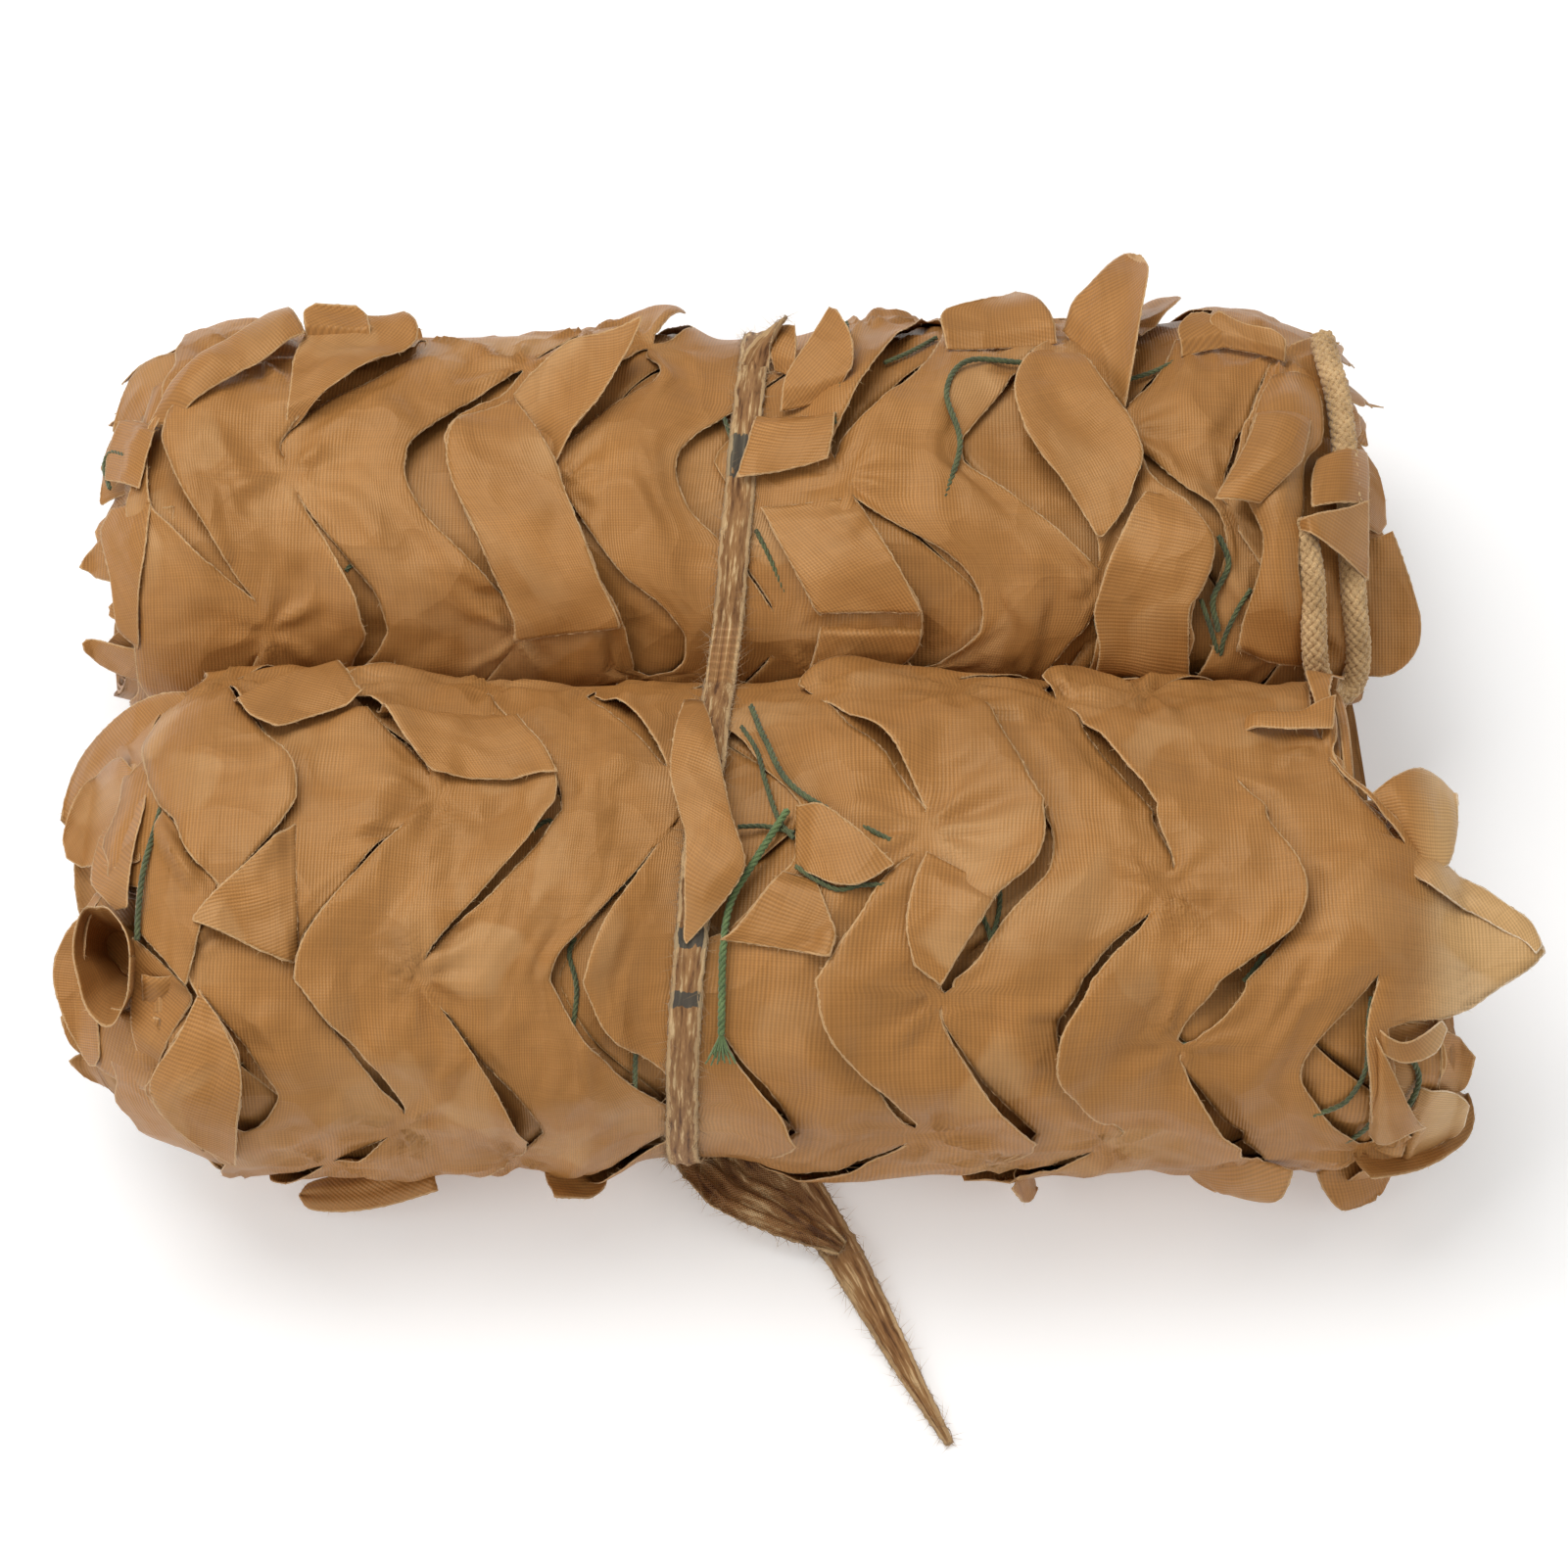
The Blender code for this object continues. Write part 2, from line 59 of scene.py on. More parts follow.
def added(name, data):
    """A new object in the scene."""
    item = bpy.data.objects.new(name, data)
    bpy.context.scene.collection.objects.link(item)
    return item


def new_surface(name, constants):
    """A new material, its nodes, and its shader with these values set on the shader's own sockets."""
    surface = bpy.data.materials.new(name)
    surface.use_nodes = True
    shader = surface.node_tree.nodes["Principled BSDF"]
    for socket, value in constants.items():
        shader.inputs[socket].default_value = value
    return surface, surface.node_tree, shader


camera = added("camera", bpy.data.cameras.new("camera"))
camera.data.sensor_width = SENSOR_WIDTH
camera.data.lens = FOCAL_PIXELS * SENSOR_WIDTH / FRAME_SIDE
camera_heading = Vector((0, cos(CAMERA_ELEVATION), -sin(CAMERA_ELEVATION)))
camera.location = CAMERA_TARGET - camera_heading * CAMERA_DISTANCE
camera.rotation_euler = (pi / 2 - CAMERA_ELEVATION, 0, 0)
bpy.context.scene.camera = camera

SoftLight = namedtuple("SoftLight", "name place aim size watts")
SOFT_LIGHTS = [
    SoftLight("overhead", (-0.45, 0.45, 1.5), (0, 0, 0), 1.1, 17),
    SoftLight("left front", (-1.5, -0.9, 1.0), (0, 0, 0.05), 1.2, 10),
    SoftLight("right front", (1.5, -0.8, 0.9), (0, 0, 0.05), 1.2, 6),
]
for light in SOFT_LIGHTS:
    lamp = added(light.name, bpy.data.lights.new(light.name, "AREA"))
    lamp.data.size = light.size
    lamp.data.energy = light.watts
    lamp.location = light.place
    aim = Vector(light.aim) - Vector(light.place)
    lamp.rotation_euler = aim.to_track_quat("-Z", "Y").to_euler()

AMBIENT = (1.0, 0.985, 0.96)
AMBIENT_STRENGTH = 0.48
world = bpy.data.worlds.new("studio")
world.use_nodes = True
world.node_tree.nodes["Background"].inputs["Color"].default_value = (*AMBIENT, 1)
world.node_tree.nodes["Background"].inputs["Strength"].default_value = AMBIENT_STRENGTH
bpy.context.scene.world = world

bpy.context.scene.view_settings.view_transform = "Standard"

FLOOR_SIZE = 6
floor_mesh = bpy.data.meshes.new("floor")
floor_bm = bmesh.new()
bmesh.ops.create_grid(floor_bm, x_segments=1, y_segments=1, size=FLOOR_SIZE / 2)
floor_bm.to_mesh(floor_mesh)
floor_bm.free()
floor = added("floor", floor_mesh)
floor_paint = new_surface("floor paint", {
    "Base Color": (0.86, 0.86, 0.86, 1), "Roughness": 0.9,
    "Emission Color": (1, 1, 1, 1), "Emission Strength": 0.22})[0]
floor_mesh.materials.append(floor_paint)

# ======================================== the braided border rope
# The net's edge is bound with a tan round braid of eight millimetres. A bight of it lies on the
# right end of the back roll, runs down into the crease and comes back up beside itself.
MM = 0.001

HALF_LENGTH = 193 * MM
MIDDLE = -8 * MM              # the rolls' middle along X
SQUARENESS = 2.35             # of the rolls' section: 2 would be an ellipse
SETTLED = 0.96                # how high a roll's centre stands, of its half height
STRIP = 13.5 * MM             # thickness of the folded strip
PITCH = 16 * MM               # from one turn of the strip to the next
STEP_IN = 0.72                # the part of a turn after which the strip steps in by its pitch
RECESS = 4 * MM               # of the underside where the tie runs
RECESS_ANGLE = 60
TIE_PLACE = -13.2 * MM        # where the tie crosses, from the rolls' middle
TIE_SLANT = 0.0815
SLANT_RUN = 60 * MM           # how far from the tie the cloth is still drawn aside with it
DRIFT_FROM, DRIFT_RUN = 60 * MM, 100 * MM       # the back roll's ends lie a little to the left
WAIST = 0.03                  # how much smaller the rolls are under the tie
WAIST_FLAT, WAIST_RUN = 9 * MM, 30 * MM         # to each side of it
RECESS_FLAT, RECESS_RUN = 8 * MM, 7 * MM
END_LENGTH = 34 * MM          # how far in from their ends the rolls grow rounder
LEFT_ROUNDING, RIGHT_ROUNDING = 0.17, 0.15
SAG = 0.018                   # unevenness along a roll, and its length of wave
SAG_WAVE = 29 * MM
CORNER = 20 * MM              # how far the low left corner of the front roll is drawn in
CORNER_FROM, CORNER_RUN = 140 * MM, 53 * MM

Roll = namedtuple(
    "Roll", "side centre half_depth half_height turns first_line apex period drift swell")
FRONT = Roll(-1, -74.5 * MM, 73 * MM, 57 * MM, 936, -166 * MM, 117 * MM, 103 * MM, 0, 0)
BACK = Roll(1, 68.5 * MM, 67 * MM, 51 * MM, 912, -162 * MM, 50 * MM, 122 * MM, -9 * MM, 0.025)


def ease(value):
    """A smooth step from 0 to 1."""
    value = np.clip(value, 0.0, 1.0)
    return value * value * (3 - 2 * value)


def wound(roll, angle, depth):
    """The place (y, z) on the plain roll at a winding angle and a depth below its outer face.

    Angle 0 is under the roll, 90 is its outward side, 180 its top and 270 the crease.
    """
    turns = np.floor(angle / 360)
    inward = PITCH * (turns + ease((angle / 360 - turns - STEP_IN) / 0.28)) + depth
    turn = np.radians(-90 - angle)
    rounded = 2 / SQUARENESS
    across = (roll.half_depth - inward) * np.copysign(abs(np.cos(turn)) ** rounded, np.cos(turn))
    height = (roll.half_height - inward) * np.copysign(abs(np.sin(turn)) ** rounded, np.sin(turn))
    return roll.centre - roll.side * across, np.maximum(SETTLED * roll.half_height + height, inward)


def on_roll(roll, along, angle, depth):
    """Points on the finished roll: drawn in at the tie, its ends rounded off, a little uneven."""
    along, angle, depth = np.broadcast_arrays(
        np.asarray(along, float), np.asarray(angle, float), np.asarray(depth, float))
    y, z = wound(roll, angle, depth)
    pressed = (1 - ease((angle - 20) / (RECESS_ANGLE - 20))) * (1 - np.clip(depth / STRIP, 0, 1))
    waist = 1 - ease((abs(along) - WAIST_FLAT) / WAIST_RUN)
    recess = pressed * (1 - ease((abs(along) - RECESS_FLAT) / RECESS_RUN))
    end = np.clip((abs(along) - HALF_LENGTH + END_LENGTH) / END_LENGTH, 0, 1.2)
    rounding = 1 - np.where(along < 0, LEFT_ROUNDING, RIGHT_ROUNDING) * end ** 2
    sag = 1 + SAG * np.sin(along / SAG_WAVE + 1.1 + 0.8 * roll.side) * (1 - waist)
    sag += roll.swell * np.sin(pi * along / HALF_LENGTH)
    size = (1 - WAIST * waist) * rounding * sag
    y = roll.centre * (1 - WAIST * waist) + (y - roll.centre) * size
    z = z * size + RECESS * recess
    if roll is FRONT:
        low = ease((112 - angle % 360) / 50) * ease(angle % 360 / 20)
        along = along + CORNER * low * ease((-along - CORNER_FROM) / CORNER_RUN)
    slant = np.exp(-(along / SLANT_RUN) ** 2) * (TIE_PLACE + TIE_SLANT * y)
    drift = roll.drift * ease((abs(along) - DRIFT_FROM) / DRIFT_RUN)
    return np.stack([MIDDLE + along + slant + drift, y, z], axis=-1)


def laid(roll, stops, over):
    """The points of a route on the net, so far over the plain roll.

    Its stops are places along in millimetres and angles round in degrees.
    """
    over = np.broadcast_to(over, len(stops))
    return [on_roll(roll, along * MM, angle, -up) for (along, angle), up in zip(stops, over)]


def padded(points):
    """The points with one more past each end, for a smooth curve."""
    return np.vstack([2 * points[0] - points[1], points, 2 * points[-1] - points[-2]])


def curved(points, span, share):
    """A share of the way along one span of the smooth curve through padded points."""
    before, here, there, after = (points[span + step] for step in range(4))
    return 0.5 * (
        2 * here + (there - before) * share
        + (2 * before - 5 * here + 4 * there - after) * share ** 2
        + (3 * here - before - 3 * there + after) * share ** 3)


def way_along(points):
    """The way to each point along a line of points."""
    return np.concatenate([[0], np.cumsum(np.linalg.norm(np.diff(points, axis=0), axis=1))])


def smooth_route(route, spacing):
    """Even points on a smooth curve through the route's own points, and what they carry."""
    route = np.array(route, float)
    share = np.linspace(0, 1, 24, endpoint=False)[:, None]
    fine = [curved(padded(route), span, share) for span in range(len(route) - 1)]
    fine = np.vstack(fine + [route[-1:]])
    reached = way_along(fine[:, :3])
    count = max(6, round(reached[-1] / spacing) + 1)
    wanted = np.linspace(0, reached[-1], count)
    return np.stack([np.interp(wanted, reached, column) for column in fine.T], axis=1)


def place_node(tree, kind, values=None, **settings):
    """Add a node, set its own settings, and set or link its inputs by name or number.

    Another node among the values stands for its first output.
    """
    node = tree.nodes.new(kind)
    for name, value in settings.items():
        setattr(node, name, value)
    for name, value in (values or {}).items():
        if isinstance(value, bpy.types.Node):
            value = value.outputs[0]
        if isinstance(value, bpy.types.NodeSocket):
            tree.links.new(value, node.inputs[name])
        else:
            node.inputs[name].default_value = value
    return node


def calculate(tree, operation, *values):
    """A Math node's result."""
    node = place_node(tree, "ShaderNodeMath", dict(enumerate(values)), operation=operation)
    return node.outputs[0]


def sums(tree):
    """A tree's multiply, add, subtract and divide nodes, each as a function of its two values."""
    return [partial(calculate, tree, name) for name in ("MULTIPLY", "ADD", "SUBTRACT", "DIVIDE")]


def vector_sum(tree, operation, first, second):
    """A Vector Math node's result, where the second value of SCALE is a number."""
    values = {0: first, "Scale" if operation == "SCALE" else 1: second}
    return place_node(tree, "ShaderNodeVectorMath", values, operation=operation)


def new_nodes(name, inputs, output):
    """New geometry nodes with named inputs of several kinds and one output, and what they are given."""
    tree = bpy.data.node_groups.new(name, "GeometryNodeTree")
    for kind, sockets in inputs.items():
        for socket in sockets:
            tree.interface.new_socket(socket, in_out="INPUT", socket_type="NodeSocket" + kind)
    tree.interface.new_socket(output, in_out="OUTPUT", socket_type="NodeSocketGeometry")
    return tree, place_node(tree, "NodeGroupInput").outputs


def resampled(tree, curve, step):
    """A curve with its points an even step apart."""
    return place_node(tree, "GeometryNodeResampleCurve", {"Curve": curve, "Length": step}, mode="LENGTH")


def swept(tree, curve, sides, radius, capped):
    """A round bar of so many sides along a curve."""
    ring = place_node(tree, "GeometryNodeCurvePrimitiveCircle", {"Resolution": sides, "Radius": radius})
    return place_node(tree, "GeometryNodeCurveToMesh", {
        "Curve": curve, "Profile Curve": ring, "Fill Caps": capped})


def end_nodes(tree, geometry, surface, output):
    """Make all instances real, set the material, and give out the result."""
    real = place_node(tree, "GeometryNodeRealizeInstances", {"Geometry": geometry})
    painted = place_node(tree, "GeometryNodeSetMaterial", {"Geometry": real, "Material": surface})
    place_node(tree, "NodeGroupOutput", {output: painted})
    return tree


def strand_tree():
    """Geometry nodes that lay strands round a path: all one way for a twist, both ways for a braid."""
    tree, given = new_nodes("laid strands", {
        "Geometry": ["Path"],
        "Float": ["Lay length", "Strand radius", "Circle radius", "Over and under", "Step"],
        "Int": ["Strands", "Two ways", "Sides"], "Material": ["Surface"]}, "Cord")
    times, plus, less, over = sums(tree)
    even = resampled(tree, given["Path"], given["Step"])
    copies = place_node(tree, "GeometryNodeDuplicateElements",
                        {"Geometry": even, "Amount": given["Strands"]}, domain="SPLINE")
    kept = place_node(tree, "GeometryNodeCaptureAttribute", {"Geometry": copies}, domain="CURVE")
    kept.capture_items.new("INT", "number")
    tree.links.new(copies.outputs["Duplicate Index"], kept.inputs[1])
    number = kept.outputs[1]
    crossed = times(calculate(tree, "MODULO", number, 2.0), given["Two ways"])
    way = less(1.0, times(crossed, 2.0))
    reached = place_node(tree, "GeometryNodeSplineParameter").outputs["Length"]
    wind = times(over(reached, given["Lay length"]), tau)
    start = times(over(less(number, crossed), given["Strands"]), tau)
    turn = plus(times(wind, way), start)
    weave = calculate(tree, "COSINE", times(wind, times(given["Strands"], 0.5)))
    radius = plus(given["Circle radius"], times(times(weave, way), given["Over and under"]))
    normal = place_node(tree, "GeometryNodeInputNormal")
    tangent = place_node(tree, "GeometryNodeInputTangent")
    side = vector_sum(tree, "CROSS_PRODUCT", tangent, normal)
    offset = vector_sum(
        tree, "ADD",
        vector_sum(tree, "SCALE", normal, times(radius, calculate(tree, "COSINE", turn))),
        vector_sum(tree, "SCALE", side, times(radius, calculate(tree, "SINE", turn))))
    moved = place_node(tree, "GeometryNodeSetPosition", {"Geometry": kept, "Offset": offset})
    solid = swept(tree, moved, given["Sides"], given["Strand radius"], True)
    smooth = place_node(tree, "GeometryNodeSetShadeSmooth", {"Geometry": solid})
    return end_nodes(tree, smooth, given["Surface"], "Cord")


STRANDS = strand_tree()


def through_nodes(name, data, tree, settings):
    """Run geometry nodes on a curve or mesh and keep the result as a plain mesh object."""
    source = added(name + " source", data)
    modifier = source.modifiers.new("nodes", "NODES")
    modifier.node_group = tree
    for item in tree.interface.items_tree:
        if item.in_out == "INPUT" and item.name in settings:
            modifier[item.identifier] = settings[item.name]
    bpy.context.view_layer.update()
    evaluated = source.evaluated_get(bpy.context.evaluated_depsgraph_get())
    mesh = bpy.data.meshes.new_from_object(evaluated)
    mesh.name = name
    bpy.data.objects.remove(source)
    return added(name, mesh)


def strand_cord(name, routes, surface, **settings):
    """Twisted or braided cords along one or more routes, as one piece."""
    data = bpy.data.curves.new(name, "CURVE")
    data.dimensions = "3D"
    for route in routes:
        line = data.splines.new("POLY")
        line.points.add(len(route) - 1)
        line.points.foreach_set("co", np.hstack([route, np.ones((len(route), 1))]).ravel())
    return through_nodes(name, data, STRANDS, {"Surface": surface, **settings})


def noise_of(tree, place, scale, detail, output="Fac"):
    """Blender's smooth noise at a place."""
    node = place_node(tree, "ShaderNodeTexNoise", {"Vector": place, "Scale": scale, "Detail": detail})
    return node.outputs[output]


def colour_ramp(tree, value, stops):
    """The colour for a value, from stops that are each a value and its colour."""
    stops = list(stops)
    ramp = place_node(tree, "ShaderNodeValToRGB", {"Fac": value})
    while len(ramp.color_ramp.elements) < len(stops):
        ramp.color_ramp.elements.new(0.5)
    for element, (position, colour) in zip(ramp.color_ramp.elements, stops):
        element.position = position
        element.color = (*colour, 1)
    return ramp.outputs["Color"]


def bumped(tree, height, strength, distance, **below):
    """The surface's direction after a bump, over an earlier one if that is given as Normal."""
    return place_node(tree, "ShaderNodeBump", {
        "Height": height, "Strength": strength, "Distance": distance, **below}).outputs["Normal"]


def finish_surface(tree, shader, colour, normal):
    """Give the shader its colour and its bumps."""
    tree.links.new(colour, shader.inputs["Base Color"])
    tree.links.new(normal, shader.inputs["Normal"])


def fibre_material(name, dark, light, fibre_scale, roughness):
    """Spun yarn: two shades in fine noise, with a fibrous bump."""
    surface, tree, shader = new_surface(name, {"Roughness": roughness, "Sheen Weight": 0.25})
    times, plus, _, _ = sums(tree)
    place = place_node(tree, "ShaderNodeTexCoord").outputs["Object"]
    fine = noise_of(tree, place, fibre_scale, 3.0)
    blend = plus(times(fine, 0.6), times(noise_of(tree, place, 160.0, 2.0), 0.4))
    colour = colour_ramp(tree, blend, [(0.36, dark), (0.64, light)])
    finish_surface(tree, shader, colour, bumped(tree, fine, 0.5, 0.0002))
    return surface


BRAID = fibre_material("tan braid", (0.30, 0.17, 0.06), (0.66, 0.44, 0.21), 2600.0, 0.75)

ROPE_DIAMETER = 8 * MM
ROPE_OVER = ROPE_DIAMETER / 2 + 3.6 * MM
ROPE_STOPS = [
    (181, 149), (182, 160), (184, 172), (185, 190), (185, 207), (186, 224), (188, 240), (187, 252),
    (181, 255), (175, 246), (173, 232), (172, 216), (169, 202)]
rope_route = smooth_route(laid(BACK, ROPE_STOPS, ROPE_OVER), 2 * MM)
rope = strand_cord("border_rope_braid", [rope_route], BRAID, **{
    "Lay length": 26 * MM, "Strand radius": 1.05 * MM, "Circle radius": 2.75 * MM,
    "Over and under": 0.45 * MM, "Step": 0.7 * MM, "Strands": 16, "Two ways": 1, "Sides": 6})
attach(rope, "root")
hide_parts("border_rope")

# ======================================== the green mesh cords
# The leaf cloth is tacked to a mesh of thin twisted green cord. It shows where leaves have
# moved aside, and one free end lies across the tie and has frayed out.
GREEN = fibre_material("green cord", (0.026, 0.036, 0.011), (0.12, 0.14, 0.046), 3200.0, 0.7)
CORD_DIAMETER = 1.8 * MM
CORD_STEP = 1.5 * MM          # between the points of a cord's route
CordRoute = namedtuple("CordRoute", "name roll lift stops")
CORD_ROUTES = [  # lift: millimetres over the plain rolls
    CordRoute("mesh_cord_back_loop", BACK, (2.2, 3.6, 3.4, 2.8, 1.6),
              [(80, 160), (63, 161), (57, 171), (61, 182), (57, 195)]),
    CordRoute("mesh_cord_back", BACK, (3.0, 4.0, 4.0, 3.0),
              [(27, 138), (28, 154), (27, 168), (26, 178)]),
    CordRoute("mesh_cord_middle", FRONT, 1.5, [(10, 214), (15, 200), (24, 186), (46, 177)]),
    CordRoute("mesh_cord_knot", BACK, 1.9, [(144, 234), (142, 224), (147, 214), (144, 206)]),
    CordRoute("mesh_cord_left", FRONT, (-3.5, -0.5, 2.4, 2.6, 2.2),
              [(-175, 194), (-175, 184), (-178, 174), (-179, 164), (-179, 157)]),
    CordRoute("mesh_cord_right", FRONT, 2.2, [(181, 128), (186, 118), (184, 108), (178, 98)]),
]


def twist_of(diameter):
    """What makes a cord of three twisted strands of this thickness."""
    return {"Lay length": 6 * MM, "Over and under": 0.0, "Step": 0.6 * MM, "Strands": 3,
            "Two ways": 0, "Sides": 6,
            "Strand radius": 0.27 * diameter, "Circle radius": 0.26 * diameter}


for entry in CORD_ROUTES:
    over = CORD_DIAMETER / 2 + np.multiply(entry.lift, MM)
    route = smooth_route(laid(entry.roll, entry.stops, over), CORD_STEP)
    twisted = strand_cord(entry.name + "_twist", [route], GREEN, **twist_of(CORD_DIAMETER))
    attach(twisted, "root")
    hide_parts(entry.name)

LOOSE_GREEN = fibre_material(
    "loose green cord", (0.045, 0.085, 0.022), (0.17, 0.25, 0.085), 3200.0, 0.7)
LOOSE_DIAMETER = 2.2 * MM
LOOSE_OVER = LOOSE_DIAMETER / 2 + 1.4 * MM
LOOSE_STOPS = [(22, 182), (15, 173), (10, 164), (9, 153), (9.5, 142), (10, 130)]
loose_route = smooth_route(laid(FRONT, LOOSE_STOPS, LOOSE_OVER), CORD_STEP)
loose = strand_cord("loose_cord_end_twist", [loose_route], LOOSE_GREEN, **twist_of(LOOSE_DIAMETER))
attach(loose, "root")
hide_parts("loose_cord_end")

TASSEL_STRANDS = 19           # fibres of the frayed end
TASSEL_LENGTH = 10.5 * MM
TASSEL_SPREAD = 0.48          # how far the outer fibres lean aside, of their length
tassel_routes = []
end, heading = loose_route[-1], loose_route[-1] - loose_route[-3]
heading /= np.linalg.norm(heading)
for number in range(TASSEL_STRANDS):
    lean = TASSEL_SPREAD * (2 * number / (TASSEL_STRANDS - 1) - 1)
    raised = 0.10 * sin(number * 2.4)
    reach = np.linspace(0, TASSEL_LENGTH * (0.8 + 0.2 * sin(number * 1.9)), 7)[:, None]
    aside = np.array([[lean, 0, raised]]) * reach * (0.55 + 0.45 * reach / TASSEL_LENGTH)
    tassel_routes.append(end + heading * (reach - 1.5 * MM) + aside)
tassel = strand_cord("loose_cord_tassel", tassel_routes, LOOSE_GREEN, **{
    **twist_of(LOOSE_DIAMETER), "Strand radius": 0.24 * MM, "Circle radius": 0.05 * MM,
    "Strands": 1, "Sides": 4})
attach(tassel, "root")

# Fine lines of the same mesh lie in the open cuts.
MESH_DIAMETER = 1.5 * MM
MESH_LINES = {  # of each roll: millimetres over the plain roll, and the stops of its line
    FRONT: [
        (-1, [(-18, 174), (-21, 171), (-25, 168)]),
        (-1, [(-41, 157), (-43, 153), (-40, 147), (-39, 142), (-40, 134), (-41, 132)]),
        (-1, [(-15, 123), (-15, 116), (-15, 108)]),
        (0, [(8, 207), (13, 198), (16, 189), (20, 181), (24, 178)]),
        (0, [(10, 180), (17, 180), (24, 179)]),
        (2, [(25, 172), (30, 169), (35, 167), (40, 168), (45, 168)]),
        (-1, [(71, 169), (71, 164), (70, 159), (69, 156)]),
        (-1, [(67, 162), (69, 156), (68, 150), (66, 146)]), (-1, [(114, 129), (118, 128), (124, 128)]),
        (-1, [(141, 153), (137, 148), (135, 146)]),
        (0, [(171, 142), (170, 133), (170, 121), (166, 111), (162, 107), (156, 104)]),
        (0, [(172, 124), (173, 111), (175, 93)]), (0, [(159, 99), (166, 92), (172, 97), (174, 104)]),
        (-1, [(-62, 180), (-55, 182), (-52, 181)])],
    BACK: [
        (-1, [(-86, 158), (-82, 156), (-75, 154)]), (-1, [(-122, 215), (-120, 213), (-118, 214)]),
        (-1, [(-79, 222), (-77, 224), (-76, 227)]), (0, [(-7, 172), (-4, 178), (-2, 182)]),
        (0, [(6, 201), (11, 210), (15, 219), (17, 222)]), (0, [(39, 158), (46, 153), (54, 144)]),
        (-1, [(103, 231), (105, 241), (105, 255)]), (0, [(116, 165), (126, 162), (137, 156)]),
        (0, [(119, 187), (121, 190), (121, 193)]), (2, [(154, 221), (150, 227), (146, 236), (145, 242)]),
        (2, [(138, 224), (141, 232), (144, 241)]), (1, [(133, 257), (139, 250), (144, 244), (147, 240)]),
        (0, [(-189, 179), (-195, 175), (-197, 178), (-194, 185)]),
        (-1, [(-45, 247), (-40, 250), (-34, 252)])],
}
mesh_routes = [
    smooth_route(laid(roll, stops, MESH_DIAMETER / 2 + lift * MM), CORD_STEP)
    for roll, lines in MESH_LINES.items() for lift, stops in lines]
mesh_lines = strand_cord("net_mesh_lines", mesh_routes, GREEN, **twist_of(MESH_DIAMETER))
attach(mesh_lines, "root")

# ======================================== the leaf cloth, outer ply
# Sand-coloured polyester, die-cut along zigzag lines that leave it joined at short bridges.
# Each rounded leaf rides up over its neighbour, and the bridges are tacked to the mesh cords.
LINE_SPACING = 38.6 * MM
ZIGZAG = 21.5 * MM            # how far a cut line swings to each side
LINES = 10
ARC_FROM, LAST_ANGLE = 290, 4     # where the ply starts in the crease and ends under the roll
BRIDGE = 0.86                 # how near its turn a cut stops: 1 would leave no bridge


def arc_table(roll):
    """Winding angles of the visible turn and the length to each, from the crease downwards."""
    angles = np.arange(ARC_FROM, -0.5, -1.0)
    arcs = way_along(np.stack(wound(roll, angles, 0.0), axis=1))
    return angles, arcs - np.interp(-285.0, -angles, arcs)


def leaf_noise(x, y, seed):
    """Smooth noise from -1 to 1 for arrays of places given in its own wavelengths."""
    flat = [noise.noise((a, b, seed)) for a, b in zip(np.ravel(x), np.ravel(y))]
    return np.reshape(flat, np.shape(x)) * 1.6


def creases(x, y, seed):
    """Flat facets from -1 to 1 with straight creases between, for places in its own wavelengths."""
    corner = np.random.default_rng(seed).uniform(-1, 1, (64, 64))
    across = x + 0.45 * leaf_noise(x / 2.3, y / 2.3, seed + 0.5) + 20
    down = y + 0.45 * leaf_noise(x / 2.3, y / 2.3, seed + 9.5) + 20
    column, row = np.floor(across).astype(int) % 63, np.floor(down).astype(int) % 63
    right, low = across % 1, down % 1
    near = (1 - right - low) * corner[row, column] + right * corner[row, column + 1]
    near += low * corner[row + 1, column]
    far = (right + low - 1) * corner[row + 1, column + 1] + (1 - low) * corner[row, column + 1]
    far += (1 - right) * corner[row + 1, column]
    return np.where(right + low < 1, near, far)


def cut_swing(roll, arc):
    """Where the cut lines stand in their zigzag: 1 at a right turn, -1 at a left turn."""
    phase = (arc - roll.apex) / roll.period
    swing = 1 - 4 * abs((phase + 0.5) % 1 - 0.5)
    return 0.6 * swing + 0.4 * np.sin(pi / 2 * swing)


CutLine = namedtuple("CutLine", "roll line slits stops")
